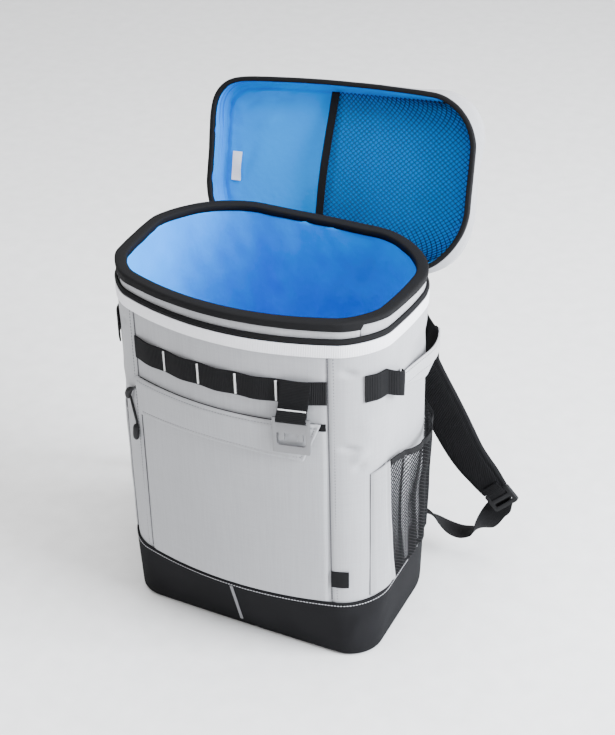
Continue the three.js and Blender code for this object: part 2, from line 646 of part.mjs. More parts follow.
// Left and right pieces
for (const side of ['left', 'right']) {
  const sign = side === 'left' ? -1 : 1;

  // Side pocket: a grey panel in front, net behind it
  const panelTop = sideBottom + sidePocketHeight + sidePanelRise;
  const panelBack = (v) => sidePanelFront + sidePanelWidth + sidePanelFlare * (1 - v) ** 2;
  add(`side_panel_${side}`, panel(steps(3), steps(3), (t, v, face) => {
    const y = lerp(sidePanelFront, panelBack(v), t);
    const z = lerp(sideBottom, panelTop + sideBindingHeight * t, v);
    return onSide(y, z, gap + sidePanelLift * t + face * sideCloth, sign);
  }), grey);

  const netTop = (t) => panelTop + gap - sideNetDip * hump(0.5 * share(t, 0, 0.45));
  const netOut = (t, v) => {
    return gap + sidePanelLift + sideNetSlack * hump(0.1 + 0.8 * t) * lerp(sideNetFootSlack, 1, v);
  };
  const netFront = (v) => panelBack(v) + 4 * gap;
  add(`side_net_${side}`, panel(steps(14), steps(4), (t, v, face) => {
    const y = lerp(netFront(v), sideNetBack, t);
    return onSide(y, lerp(sideBottom, netTop(t), v), netOut(t, v) + face * netCloth, sign);
  }), net);
  add(`side_net_binding_${side}`, panel(steps(14), [0, 1], (t, v, face) => {
    const y = lerp(netFront(1), sideNetBack, t);
    const z = netTop(t) + gap + v * sideBindingHeight;
    return onSide(y, z, netOut(t, 1) + face * bindingCloth, sign);
  }), black);

  // Grip webbing: tacked at its front end, arched, then held under the wing
  add(`grip_${side}`, panel(steps(14), [0, 1], (t, v, face) => {
    const tall = lerp(grip.tall, grip.endTall, t);
    const z = gripTop - grip.drop * t ** 2 - tall * (1 - v);
    const rise = grip.rise * hump(t / 0.75);
    return onSide(lerp(grip.front, grip.back, t), z, 2 * gap + rise + face * grip.cloth, sign);
  }), black);

  // Wing: sewn down in front and along its foot, standing off at the back
  const wingPlace = (t, v, face) => {
    const tall = lerp(wing.frontTall, wing.backTall, t);
    const z = wingTop - wing.drop * t - tall * (1 - v);
    const lift = wing.lift * t ** 2 * share(v, 0, 0.55);
    return onSide(lerp(wing.front, wing.back, t), z, gap + lift + face * wing.cloth, sign);
  };
  add(`wing_${side}`, panel(steps(8), steps(3), wingPlace), grey);
  add(`wing_tab_${side}`, panel(steps(2), [0, 1], (t, v, face) => {
    const y = wing.back + gap + t * wingTab.length;
    const z = wingTop - wing.drop - wingTab.tall * (1 - v);
    return onSide(y, z, gap + wing.lift + face * wing.cloth, sign);
  }), black);

  // Shoulder strap: shares of flare, stand-off and drop from its top end on the back
  const strapRows = [
    { out: 0, back: 0, down: 0, width: 1.05, thick: 0.55 },
    { out: 0.06, back: 0.04, down: 0.1, width: 1.05, thick: 0.9 },
    { out: 0.13, back: 0.3, down: 0.26, width: 1.03, thick: 1 },
    { out: 0.26, back: 0.7, down: 0.44, width: 1, thick: 1 },
    { out: 0.45, back: 0.92, down: 0.62, width: 0.93, thick: 1 },
    { out: 0.67, back: 1, down: 0.82, width: 0.86, thick: 0.95 },
    { out: 0.86, back: 1, down: 0.93, width: 0.78, thick: 0.9 },
    { out: 1, back: 0.95, down: 1, width: 0.66, thick: 0.6 },
  ];
  const strapLay = backFace + gap + strapThick / 2 + bandOut + strapClear;
  const strapPoint = (row) => new THREE.Vector3(
    sign * (strapTop.x + row.out * strapFlare),
    strapLay + row.back * strapStandOff,
    strapTop.z - row.down * strapDrop,
  );
  const strapCurve = new THREE.CatmullRomCurve3(strapRows.map(strapPoint));
  const strapCount = 14;
  const strapSections = steps(strapCount).map((s) => {
    const position = s * (strapRows.length - 1);
    const k = Math.min(Math.floor(position), strapRows.length - 2);
    const f = position - k;
    const mix = (key) => lerp(strapRows[k][key], strapRows[k + 1][key], f);
    const tangent = strapCurve.getTangent(s);
    const facing = new THREE.Vector3(0, 1, 0);
    const across = new THREE.Vector3().crossVectors(tangent, facing).normalize();
    const thick = new THREE.Vector3().crossVectors(across, tangent).normalize();
    across.multiplyScalar(sign * mix('width') * strapWidth / 2);
    thick.multiplyScalar(mix('thick') * strapThick / 2);
    return { centre: strapCurve.getPoint(s), across, thick, tangent };
  });
  add(`strap_${side}`, loft(strapSections.map(({ centre, across, thick }) => {
    return strapCorners.map(([a, b]) => {
      return centre.clone().addScaledVector(across, a).addScaledVector(thick, b);
    });
  })), black);

  // Ladder lock at the strap's lower end: its frame has Y along the strap and Z through the plate
  const end = strapSections[strapCount];
  const buckle = new THREE.Group();
  const yAxis = end.tangent.clone().normalize();
  const xAxis = end.across.clone().normalize();
  const zAxis = new THREE.Vector3().crossVectors(xAxis, yAxis);
  buckle.matrixAutoUpdate = false;
  buckle.matrix.makeBasis(xAxis, yAxis, zAxis);
  buckle.matrix.setPosition(end.centre.clone().addScaledVector(yAxis, gap));
  group.add(buckle);
  const { width, height, thick, bar: rail } = buckleSize;
  const frame = rounded(-width / 2, 0, width / 2, height, 3);
  const slotTall = (height - 3 * rail) / 2;
  for (const low of [rail, 2 * rail + slotTall]) {
    const slot = rounded(rail - width / 2, low, width / 2 - rail, low + slotTall, 1, new THREE.Path());
    frame.holes.push(slot);
  }
  const lock = new THREE.ExtrudeGeometry(frame, { depth: thick, bevelEnabled: false, curveSegments: 3 });
  lock.translate(0, 0, -thick / 2);
  add(`buckle_${side}`, lock, plastic, buckle);

  // Lower webbing: falls behind the ladder lock, hangs in a slack bow and runs flat on to the back
  // corner of the foot. Shares of the way inwards and forwards from the lock, and of the sag.
  const bowRows = [
    { inward: 0.05, forward: 0, sag: 0.16, flat: 0 },
    { inward: 0.124, forward: 0.14, sag: 0.55, flat: 0.35 },
    { inward: 0.28, forward: 0.36, sag: 0.92, flat: 0.85 },
    { inward: 0.46, forward: 0.52, sag: 0.88, flat: 1 },
    { inward: 0.66, forward: 0.72, sag: 0.42, flat: 0.75 },
    { inward: 0.8, forward: 0.9, sag: 0.08, flat: 0.35 },
  ];
  buckle.updateMatrixWorld(true);
  const fromBuckle = (y, z) => buckle.localToWorld(new THREE.Vector3(0, y, z));
  const behindLock = Math.sign(zAxis.y) * (thick / 2 + gap + lowerWebbing.cloth / 2);
  const rootOut = bootOut + 3 * gap + lowerWebbing.cloth / 2;
  const rootAt = (y) => {
    const at = onSide(y, lowerWebbing.rootZ, rootOut, sign);
    const facing = at.clone().sub(onSide(y, lowerWebbing.rootZ, 0, sign)).normalize();
    const widening = (boot.halfWidth - foot.halfWidth) * Math.abs(facing.x);
    facing.z = -(widening + (backAt(bootHeight) - backAt(0)) * facing.y) / bootHeight;
    return { at, facing: facing.normalize() };
  };
  const rootY = backAt(lowerWebbing.rootZ) - lowerWebbing.rootForward;
  const root = rootAt(rootY).at;
  const lockMiddle = fromBuckle(height / 2, behindLock);
  const leave = lockMiddle.clone();
  leave.x -= sign * lowerWebbing.swing;
  leave.z -= lowerWebbing.fall;
  const upright = new THREE.Vector3(0, 1, 0);
  const lockFacing = zAxis.clone().multiplyScalar(Math.sign(zAxis.y));
  const route = [
    { at: lockMiddle, facing: lockFacing },
    { at: lockMiddle.clone().lerp(leave, 0.5), facing: lockFacing },
    { at: leave, facing: lockFacing },
    ...bowRows.map(({ inward, forward, sag, flat }) => ({
      at: new THREE.Vector3(
        lerp(leave.x, root.x, inward),
        lerp(leave.y, root.y, forward),
        lerp(leave.z, root.z, inward) - sag * lowerWebbing.sag,
      ),
      facing: upright.clone().lerp(new THREE.Vector3(0, 0, 1), flat).normalize(),
    })),
    ...[0, 0.4, 0.8].map((step) => rootAt(rootY + step * lowerWebbing.rootForward)),
  ];
  const webbingCurve = new THREE.CatmullRomCurve3(route.map((row) => row.at));
  const facingCurve = new THREE.CatmullRomCurve3(route.map((row) => row.facing));
  add(`strap_webbing_${side}`, strip(steps(3 * (route.length - 1)).map((s) => {
    const tangent = webbingCurve.getTangent(s);
    const across = new THREE.Vector3().crossVectors(tangent, facingCurve.getPoint(s)).normalize();
    const flat = new THREE.Vector3().crossVectors(across, tangent).normalize();
    return {
      centre: webbingCurve.getPoint(s),
      across: across.multiplyScalar(sign * lowerWebbing.width / 2),
      thick: flat.multiplyScalar(lowerWebbing.cloth / 2),
    };
  })), black);
}

export default group;
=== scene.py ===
# %% [markdown]
# A soft cooler backpack with its lid open, dressed in cloth, webbing and net.
#
# The real bag is sewn: foam padded walls in grey woven cloth, a blue coated lining, a black coated
# foot, and a lot of black webbing. A imported model gives the solid frame of it. This lesson keeps
# that frame for what is hard, and makes every soft piece again with folds, seams and thread.

# %% Load the frame
import math

import bmesh
import bpy
import numpy as np
from mathutils import Matrix, Vector


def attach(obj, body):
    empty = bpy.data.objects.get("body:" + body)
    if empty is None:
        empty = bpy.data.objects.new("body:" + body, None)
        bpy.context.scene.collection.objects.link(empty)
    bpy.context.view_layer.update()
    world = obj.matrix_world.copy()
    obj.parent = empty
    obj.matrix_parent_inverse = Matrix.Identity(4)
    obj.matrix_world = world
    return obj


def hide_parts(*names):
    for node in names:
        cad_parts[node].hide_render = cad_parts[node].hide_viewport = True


MM = 0.001
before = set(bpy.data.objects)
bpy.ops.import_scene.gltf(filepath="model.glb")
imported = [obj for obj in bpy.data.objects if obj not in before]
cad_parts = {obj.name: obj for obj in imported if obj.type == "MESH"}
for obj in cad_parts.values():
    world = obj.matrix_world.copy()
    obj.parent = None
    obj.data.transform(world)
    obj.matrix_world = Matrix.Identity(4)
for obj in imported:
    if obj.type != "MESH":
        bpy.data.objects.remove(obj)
bpy.context.view_layer.update()


def add(name, data):
    """A new object in the scene that shows this data."""
    made = bpy.data.objects.new(name, data)
    bpy.context.scene.collection.objects.link(made)
    return made


# %% [markdown]
# The camera comes before the first piece, so that every trial picture has the final view. Its
# place was solved from the outlines of the rim, the foot and the lid. A long lens stands far off,
# as in product pictures. Blender's sensor width belongs to the longer side of an upright picture.

# %% Camera
IMAGE = (615, 735)
FOCAL_PIXELS = 1513.0
CAMERA_FROM = Vector((608.8, -1160.1, 1094.0)) * MM
CAMERA_TO = Vector((24.07, 12.01, 267.65)) * MM
CAMERA_ROLL = math.radians(-1.114)

camera_data = bpy.data.cameras.new("camera")
camera_data.lens = FOCAL_PIXELS / max(IMAGE) * camera_data.sensor_width
camera = add("camera", camera_data)
look = (CAMERA_TO - CAMERA_FROM).to_track_quat("-Z", "Y").to_matrix().to_4x4()
camera.matrix_world = Matrix.Translation(CAMERA_FROM) @ look @ Matrix.Rotation(CAMERA_ROLL, 4, "Z")
bpy.context.scene.camera = camera
print("lens", round(camera_data.lens, 2), "mm")

# %% [markdown]
# A studio for white products is a pale floor, large soft lamps and a bright room. The big lamp
# stands on the right, because the right side of the bag is the lighter one, and a weaker one in
# front keeps the shadows of the folds open.

# %% Studio
ROOM_LIGHT = 0.76
LAMPS = {
    "right_lamp": {"place": (2.3, 0.15, 1.35), "size": 1.5, "power": 290, "tint": (0.91, 0.945, 1.0)},
    "front_lamp": {"place": (-1.3, -2.4, 1.9), "size": 1.6, "power": 18},
    "top_lamp": {"place": (0.0, 0.1, 2.5), "size": 1.8, "power": 70},
}
AIM = Vector((0, 0, 0.22))

room = bpy.data.worlds.new("room")
room.use_nodes = True
sky = room.node_tree.nodes["Background"].inputs
sky["Color"].default_value, sky["Strength"].default_value = (1, 1, 1, 1), ROOM_LIGHT
bpy.context.scene.world = room
for name, lamp in LAMPS.items():
    data = bpy.data.lights.new(name, "AREA")
    data.size = lamp["size"]
    data.energy = lamp["power"]
    data.color = lamp.get("tint", (1, 1, 1))
    light = add(name, data)
    light.location = lamp["place"]
    light.rotation_euler = (AIM - light.location).to_track_quat("-Z", "Y").to_euler()
print("lamps", list(LAMPS))

# %% [markdown]
# Materials are written as sums on sockets. One small class wraps a socket, and each operator adds
# its Math node, so a mask is one line that can be read. A second helper makes any other node from
# its settings and its inputs.


# %% Helper for material sums
class Value:
    """A number that changes over a surface."""

    def __init__(self, shader, socket):
        self.shader, self.socket = shader, socket

    def math(self, operation, *others, first=None):
        parts = [self, *others] if first is None else [first, self]
        return self.shader.node("ShaderNodeMath", {"operation": operation}, *parts)

    def __add__(self, other):
        return self.math("ADD", other)

    def __sub__(self, other):
        return self.math("SUBTRACT", other)

    def __rsub__(self, other):
        return self.math("SUBTRACT", first=other)

    def __mul__(self, other):
        return self.math("MULTIPLY", other)

    __radd__ = __add__
    __rmul__ = __mul__

    def sin(self):
        return self.math("SINE")

    def between(self, low, high):
        """0 below low, 1 above high, and even in between."""
        settings = {"interpolation_type": "SMOOTHSTEP"}
        return self.shader.node("ShaderNodeMapRange", settings, self, low, high)


class Shader:
    """A material and its nodes."""

    def __init__(self, name):
        self.material = bpy.data.materials.new(name)
        self.material.use_nodes = True
        self.tree = self.material.node_tree
        self.surface = self.tree.nodes["Principled BSDF"]

    def put(self, socket, value):
        if isinstance(value, Value):
            self.tree.links.new(value.socket, socket)
        else:
            socket.default_value = value

    def node(self, kind, settings=None, *values, output=0, **named):
        made = self.tree.nodes.new(kind)
        for key, value in (settings or {}).items():
            setattr(made, key, value)
        for socket, value in zip(made.inputs, values):
            self.put(socket, value)
        for key, value in named.items():
            self.put(made.inputs[key.replace("_", " ")], value)
        return Value(self, made.outputs[output])

    def mix(self, factor, low, high):
        """From the colour low to the colour high."""
        made = self.tree.nodes.new("ShaderNodeMix")
        made.data_type = "RGBA"
        for name, value in (("Factor_Float", factor), ("A_Color", low), ("B_Color", high)):
            socket = next(s for s in made.inputs if s.identifier == name)
            self.put(socket, (*value, 1) if isinstance(value, tuple) else value)
        return Value(self, next(s for s in made.outputs if s.identifier == "Result_Color"))

    def thread(self):
        """Metres along and across the cloth, from the piece's own map."""
        cloth = self.node("ShaderNodeUVMap", {"uv_map": "thread"})
        split = self.tree.nodes.new("ShaderNodeSeparateXYZ")
        self.tree.links.new(cloth.socket, split.inputs[0])
        return Value(self, split.outputs[0]), Value(self, split.outputs[1])

    def noise(self, scale, stretch=(1, 1, 1), detail=2.0):
        """Soft random spots, made for Object coordinates."""
        place = self.node("ShaderNodeTexCoord", None, output=3)
        place = self.node("ShaderNodeMapping", None, place, Scale=stretch)
        return self.node("ShaderNodeTexNoise", None, Vector=place, Scale=scale, Detail=detail)

    def finish(self, colour, roughness, bump=None, depth=0.0, **fixed):
        """Colour and roughness, with bump as a height in shares of depth metres."""
        self.put(self.surface.inputs["Base Color"], (*colour, 1) if isinstance(colour, tuple) else colour)
        self.put(self.surface.inputs["Roughness"], roughness)
        fixed.setdefault("Specular_IOR_Level", 0.3)
        for key, value in fixed.items():
            self.surface.inputs[key.replace("_", " ")].default_value = value
        if bump is not None:
            relief = self.node("ShaderNodeBump", None, Height=bump, Distance=depth)
            self.put(self.surface.inputs["Normal"], relief)
        return self.material


print("helpers ready")

# %% [markdown]
# The grey cloth is a coarse polyester weave. Its threads show as faint upright streaks, with
# slubs lying across. Two stretched noises give the streaks, and two waves on the piece's own map
# give the weave, which is under a millimetre wide and so is only relief.

# %% Woven cloth
TURN = 2 * math.pi
WEAVE, WEAVE_DEPTH = 0.0011, 0.00022
UPRIGHT_STREAKS, LYING_SLUBS = (700, 700, 18), (25, 25, 800)


def woven(name, colour, shade, roughness=0.85):
    cloth = Shader(name)
    along, up = cloth.thread()
    weave = (along * (TURN / WEAVE)).sin() * (up * (TURN / WEAVE)).sin() * 0.5 + 0.5
    upright = cloth.noise(1.0, UPRIGHT_STREAKS)
    lying = cloth.noise(1.0, LYING_SLUBS)
    worn = cloth.noise(9.0, detail=1.0)
    streaks = upright * 0.5 + lying * 0.3 + worn * 0.2
    tint = cloth.mix(streaks.between(0.35, 0.65), shade, colour)
    height = weave * 0.6 + upright * 0.4
    return cloth.finish(tint, roughness, height, WEAVE_DEPTH, Sheen_Weight=0.15, Sheen_Roughness=0.6)


grey_cloth = woven("woven_grey", (0.365, 0.368, 0.384), (0.33, 0.333, 0.347))
panel_cloth = woven("woven_grey_panel", (0.325, 0.328, 0.342), (0.29, 0.293, 0.305))
strip_cloth = woven("woven_grey_strip", (0.41, 0.414, 0.43), (0.36, 0.363, 0.376))
print("cloth", grey_cloth.name, strip_cloth.name)

# %% [markdown]
# The lining is a thin blue cloth with a coating on it. It has a soft sheen, broad and slow changes
# of colour, and creases that catch light, which the mesh makes. In the lid one side hangs slack, in
# long folds that shade each other, and painted shade, a darker tint in long stripes on the piece's
# own map, darkens those folds further.


# %% Blue lining
PAINTED_SHADE_PITCH = 0.0075
SLACK_END = (0.16, 0.22)
SKIRT_EDGE = (0.021, 0.027)


def lining(name, gloss=0.1, painted_fold_shade=False):
    """When the flag is on, the side of the lid that hangs slack gets painted shade: a darker tint in long
    narrow stripes, for the shade of its folds.
    """
    shader = Shader(name)
    cloudy = shader.noise(7.0, detail=2.0)
    crinkle = shader.noise(160.0, detail=3.0)
    tint = shader.mix(cloudy.between(0.3, 0.7), (0.0, 0.225, 0.74), (0.0, 0.265, 0.8))
    if painted_fold_shade:
        along, across = shader.thread()
        # Painted shade: on the lid's slack side the blue is tinted darker in long stripes for the shade in
        # its folds, down to the painted shade colour (0.0, 0.1, 0.46).
        slack = (1 - along.between(*SLACK_END)) * (1 - across.between(*SKIRT_EDGE))
        folds = (across * (TURN / PAINTED_SHADE_PITCH) + (along * 30).sin() * 0.6).sin().between(0.1, 0.9)
        tint = shader.mix(slack * (folds * 0.6 + 0.4), tint, (0.0, 0.1, 0.46))
    return shader.finish(tint, crinkle * 0.12 + 0.5, crinkle, 0.00035, Specular_IOR_Level=gloss)


blue_lining, lid_blue_painted_shade = lining("coated_blue"), lining("coated_blue_lid_painted_shade", 0.02, True)
print("lining", blue_lining.name, lid_blue_painted_shade.name)

# %% [markdown]
# Webbing is woven with ribs across its length. The rim and the lid are bound with the same kind of
# tape, only finer. The map of each piece runs along the tape, so one wave makes the ribs.


# %% Webbing, tape and band
def ribbed(name, colour, shade, pitch, depth, roughness=0.7):
    tape = Shader(name)
    along, across = tape.thread()
    rib = (along * (TURN / pitch)).sin() * 0.5 + 0.5
    row = (across * (TURN / (0.8 * pitch))).sin() * 0.5 + 0.5
    fluff = tape.noise(900.0)
    tint = tape.mix(rib * 0.5 + fluff * 0.5, shade, colour)
    return tape.finish(tint, roughness, rib * 0.75 + row * 0.25, depth, Specular_IOR_Level=0.08)


black_webbing = ribbed("ribbed_black", (0.009, 0.009, 0.0098), (0.005, 0.005, 0.0055), 0.0017, 0.0004)
black_tape = ribbed("black_tape", (0.009, 0.009, 0.0098), (0.006, 0.006, 0.0065), 0.0009, 0.0002)
white_band = ribbed("white_grosgrain", (0.88, 0.88, 0.91), (0.76, 0.76, 0.79), 0.0016, 0.0003)
print("tapes", black_webbing.name, black_tape.name, white_band.name)

# %% [markdown]
# The foot is coated black cloth: almost smooth, with a fine pebble grain and a low sheen. The
# straps are padded and covered with a knitted mesh whose ribs run aslant.

# %% Coated cloth and strap mesh
coat_shader = Shader("coated_black")
pebble = coat_shader.noise(1500.0)
dusty = coat_shader.noise(14.0)
coat_tint = coat_shader.mix(dusty.between(0.3, 0.7), (0.0075, 0.0075, 0.0082), (0.011, 0.011, 0.012))
black_coated = coat_shader.finish(coat_tint, dusty * 0.15 + 0.7, pebble, 0.00015, Specular_IOR_Level=0.04)

RIB_PITCH, RIB_SLANT, HOLE_PITCH = 0.0028, 0.75, 0.0017
knit_shader = Shader("black_knit")
knit_along, knit_across = knit_shader.thread()
slant = knit_along + knit_across * RIB_SLANT
knit_rib = (slant * (TURN / RIB_PITCH)).sin() * 0.5 + 0.5
knit_hole = (knit_across * (TURN / HOLE_PITCH)).sin() * 0.5 + 0.5
knit_tint = knit_shader.mix(knit_rib, (0.006, 0.006, 0.0065), (0.011, 0.011, 0.012))
black_knit = knit_shader.finish(
    knit_tint, 0.8, knit_rib * 0.8 + knit_hole * 0.2, 0.0005, Specular_IOR_Level=0.08
)
print("coated", black_coated.name, "knit", black_knit.name)

# %% [markdown]
# The hard pieces are few: the opener is satin steel with fine brushing, the ladder locks are
# moulded plastic. The nets and the sewing thread are plain, because their shape is modelled.

# %% Steel, plastic, net and thread
steel_shader = Shader("satin_steel")
brushing = steel_shader.noise(1.0, (1400, 1400, 60))
satin_steel = steel_shader.finish(
    (0.2, 0.2, 0.206), brushing * 0.12 + 0.36, brushing, 0.00003, Metallic=0.7
)


def plain(name, colour, roughness, grain=600.0, depth=0.00006, shine=0.15):
    finish = Shader(name)
    spots = finish.noise(grain)
    dark = tuple(0.85 * c for c in colour)
    return finish.finish(finish.mix(spots, dark, colour), roughness, spots, depth, Specular_IOR_Level=shine)


black_plastic = plain("moulded_black", (0.012, 0.012, 0.013), 0.42)
black_net = plain("net_black", (0.01, 0.01, 0.011), 0.7)
# Dark thread for the stitches; tight rows of it also stand for painted shade under the flap, beside the side
# pockets and in the seams.
dark_thread_and_shade = plain("dark_thread_and_shade", (0.1, 0.1, 0.107), 0.7)
stripe_grey = plain("stripe_grey", (0.2, 0.2, 0.21), 0.6)
grey_thread = plain("grey_thread", (0.5, 0.5, 0.52), 0.6)
white_thread = plain("white_thread", (0.86, 0.86, 0.86), 0.6)
label_satin = plain("label_satin", (0.8, 0.81, 0.84), 0.5)
print("thread", dark_thread_and_shade.name, grey_thread.name, white_thread.name)

# %% [markdown]
# The walls all follow one outline, so one function finds any place on them. It keeps the outline
# at every few millimetres of height, as seen from above: the depth, the radii of the corners and
# the bulge of the front change from the foot to the mouth. A place is told by the distance along
# the wall from the middle of the front, the height, and the distance out from the wall. All of
# this counts in millimetres, and only a finished mesh turns to metres.

# %% The outline of the walls
GAP = 0.35
FOOT = {"half": 140, "depth": 203, "corner": 32, "bulge": 0, "side_bulge": 0, "shift": 6}
BOOT = {"half": 145, "depth": 191.5, "corner": 35, "bulge": 28, "side_bulge": 0, "shift": 4}
MOUTH = {"half": 141, "depth": 179, "corner": 30, "bulge": 37, "side_bulge": 10, "shift": 0}
BACK_CORNER = 80
BOOT_TOP = 75.5
BODY_TOP = 380
SEAM = 103
WALL = 8


def half_outline(section, back_corner, detail=12):
    """Right half of an outline, from the middle of the back to the middle of the front."""
    half, corner, back = section["half"], section["corner"], section["depth"] / 2
    x, y = [], []

    def line(x0, y0, x1, y1, count):
        t = np.linspace(0, 1, count * detail + 1)[1:]
        x.extend(x0 + (x1 - x0) * t)
        y.extend(y0 + (y1 - y0) * t)

    def arc(cx, cy, radius, start, end, count):
        t = np.radians(np.linspace(start, end, count * detail + 1)[1:])
        x.extend(cx + radius * np.cos(t))
        y.extend(cy + radius * np.sin(t))

    x.append(0)
    y.append(back)
    line(0, back, half - back_corner, back, 2)
    arc(half - back_corner, back - back_corner, back_corner, 90, 0, 6)
    line(half, back - back_corner, half, corner - back, 3)
    arc(half - corner, corner - back, corner, 0, -90, 5)
    line(half - corner, -back, 0, -back, 6)
    x, y = np.array(x), np.array(y)
    across, forward = np.abs(x / half), np.clip(-y / back, 0, 1)
    wide = x + section["side_bulge"] * (1 - (y / back) ** 2) * across**4
    deep = y - section["bulge"] * (1 - across**2) * forward + section["shift"]
    return np.stack([wide, deep], 1)


def with_facing(points):
    """Points from the middle of the front to the back, with their outward direction and length."""
    points = points[::-1]
    along = np.gradient(points, axis=0)
    along[0], along[-1] = (1, 0), (-1, 0)
    along /= np.linalg.norm(along, axis=1)[:, None]
    length = np.concatenate([[0], np.cumsum(np.linalg.norm(np.diff(points, axis=0), axis=1))])
    return np.column_stack([points, along[:, 1], -along[:, 0], length])


def section_at(z):
    low, high, t = (FOOT, BOOT, z / BOOT_TOP) if z < BOOT_TOP else (
        BOOT, MOUTH, min((z - BOOT_TOP) / (BODY_TOP - BOOT_TOP), 1))
    return {key: low[key] + (high[key] - low[key]) * t for key in low}


STEP, LEVEL_COUNT = 2.5, 166
LEVELS = [with_facing(half_outline(section_at(STEP * k), BACK_CORNER)) for k in range(LEVEL_COUNT)]
print("girth at the mouth", round(2 * LEVELS[-1][-1, 4]), "mm")


# %% [markdown]
# The padded sides are pressed in a little where a hand takes the grip. The frame has that dent,
# so the cloth follows it. The three searches turn a place on the front, on a side or on the back
# into a distance along the wall.

# %% Places on the walls
DENTS = [
    {"y": -0.12, "z": 0.7, "reach_y": 0.4, "reach_z": 0.16, "depth": 0.4},
    {"y": 0.05, "z": 0.42, "reach_y": 0.3, "reach_z": 0.1, "depth": 0.2},
]


def hump(t):
    return np.sin(np.pi * np.clip(t, 0, 1)) ** 2


def dent_at(y, z):
    total = 0
    for d in DENTS:
        across = (y / MOUTH["depth"] - d["y"]) / d["reach_y"]
        up = (z / BODY_TOP - d["z"]) / d["reach_z"]
        total = total + d["depth"] * WALL * hump((across + 1) / 2) * hump((up + 1) / 2)
    return total


def by_level(search, z, value):
    """Runs search(level, value) on the two levels round each height, and takes what lies between."""
    z, value = np.broadcast_arrays(np.asarray(z, float), np.asarray(value, float))
    level = np.clip((z / STEP).astype(int), 0, len(LEVELS) - 2)
    share = z / STEP - level
    found = None
    for k in np.unique(level):
        here = level == k
        low, high = search(LEVELS[k], value[here]), search(LEVELS[k + 1], value[here])
        if found is None:
            found = np.zeros(z.shape + low.shape[1:])
        part = share[here].reshape(-1, *[1] * (low.ndim - 1))
        found[here] = low + (high - low) * part
    return found


def front(x, z):
    """Distance along the wall of a place on the front, x to the right."""
    def search(level, value):
        widest = np.argmax(level[:, 0]) + 1
        return np.interp(value, level[:widest, 0], level[:widest, 4])
    return np.sign(x) * by_level(search, z, np.abs(x))


def side(y, z):
    """Distance along the right wall of a place on the side, y to the back."""
    return by_level(lambda level, value: np.interp(value, level[:, 1], level[:, 4]), z, y)


def back(x, z):
    """Distance along the right wall of a place on the back."""
    def search(level, value):
        widest = np.argmax(level[:, 0])
        return np.interp(-value, -level[widest:, 0], level[widest:, 4])
    return by_level(search, z, x)


def wall(a, z, out):
    """Points in millimetres: a along the wall from the middle of the front, right is positive."""
    a, z, out = np.broadcast_arrays(*(np.asarray(v, float) for v in (a, z, out)))

    def search(level, value):
        return np.stack([np.interp(value, level[:, 4], level[:, c]) for c in range(4)], -1)
    place = by_level(search, z, np.abs(a))
    x, y, nx, ny = np.moveaxis(place, -1, 0)
    reach = out - dent_at(y, z) * np.clip((np.abs(x) - SEAM) / (MOUTH["half"] - SEAM), 0, 1)
    sign = np.where(a < 0, -1, 1)
    return np.stack([sign * (x + nx * reach), y + ny * reach, z], -1)


print("seam at", np.round(wall(front(SEAM, 300), 300, 0), 1))

# %% [markdown]
# A sewn piece is a grid of points: rows across it and columns along it. The builder below makes a
# closed solid from the outer and the inner side of such a grid, in millimetres, and gives it a map
# named thread, which holds the real metres along and across the cloth. The volume's sign tells
# whether the faces point outwards, and if they don't, all of them turn.


# %% Builder for cloth solids
def lengths(points, axis):
    """Running length in metres along an axis of a grid, as the mean over the other axis."""
    steps = np.linalg.norm(np.diff(points, axis=axis), axis=-1).mean(1 - axis)
    return np.concatenate([[0], np.cumsum(steps)]) * MM


def to_object(name, points, faces, material, uv=None):
    """A mesh object at the origin from points in millimetres."""
    mesh = bpy.data.meshes.new(name)
    mesh.from_pydata((np.asarray(points) * MM).tolist(), [], faces)
    if uv is not None:
        layer = mesh.uv_layers.new(name="thread")
        layer.data.foreach_set("uv", np.asarray(uv, np.float32).ravel())
    mesh.validate()
    work = bmesh.new()
    work.from_mesh(mesh)
    if work.calc_volume(signed=True) < 0:
        bmesh.ops.reverse_faces(work, faces=work.faces)
    work.to_mesh(mesh)
    work.free()
    mesh.shade_smooth()
    mesh.materials.append(material)
    return add(name, mesh)


def cloth_solid(name, outer, inner, material, wrap=False, cap=False):
    """A closed solid between two grids of rows by columns. wrap joins the last column to the first.
    cap closes the last row with a fan on both sides, for a ring that ends in a floor."""
    rows, columns = outer.shape[:2]
    points = [*outer.reshape(-1, 3), *inner.reshape(-1, 3)]
    along, across = lengths(outer, 1), lengths(outer, 0)
    if wrap:
        closing = np.linalg.norm(outer[:, 0] - outer[:, -1], axis=-1).mean() * MM
        along = np.append(along, along[-1] + closing)
    faces, uv = [], []
    last = columns if wrap else columns - 1

    def index(layer, r, c):
        return layer * rows * columns + r * columns + c % columns
    for layer in (0, 1):
        for r in range(rows - 1):
            for c in range(last):
                quad = [(r, c), (r, c + 1), (r + 1, c + 1), (r + 1, c)]
                quad = quad if layer == 0 else quad[::-1]
                faces.append([index(layer, *q) for q in quad])
                uv.extend((along[q[1]], across[q[0]]) for q in quad)
    for r, fan in ((0, False), (rows - 1, cap)):
        if fan:
            for layer in (0, 1):
                points.append(np.mean(points[index(layer, r, 0):index(layer, r, 0) + columns], axis=0))
                for c in range(last):
                    corners = [c + 1, c] if layer else [c, c + 1]
                    faces.append([index(layer, r, k) for k in corners] + [len(points) - 1])
                    uv.extend([(along[k], across[r]) for k in corners] + [(along[c], across[r])])
        else:
            for c in range(last):
                corners = [(0, c + 1), (0, c), (1, c), (1, c + 1)]
                corners = corners if r == 0 else corners[::-1]
                faces.append([index(layer, r, k) for layer, k in corners])
                uv.extend((along[k], across[r]) for _, k in corners)
    if not wrap:
        for c in (0, columns - 1):
            for r in range(rows - 1):
                corners = [(0, r), (0, r + 1), (1, r + 1), (1, r)]
                corners = corners if c == 0 else corners[::-1]
                faces.append([index(layer, k, c) for layer, k in corners])
                uv.extend((along[c], across[k]) for _, k in corners)
    return to_object(name, points, faces, material, uv)


print("cloth builder ready")
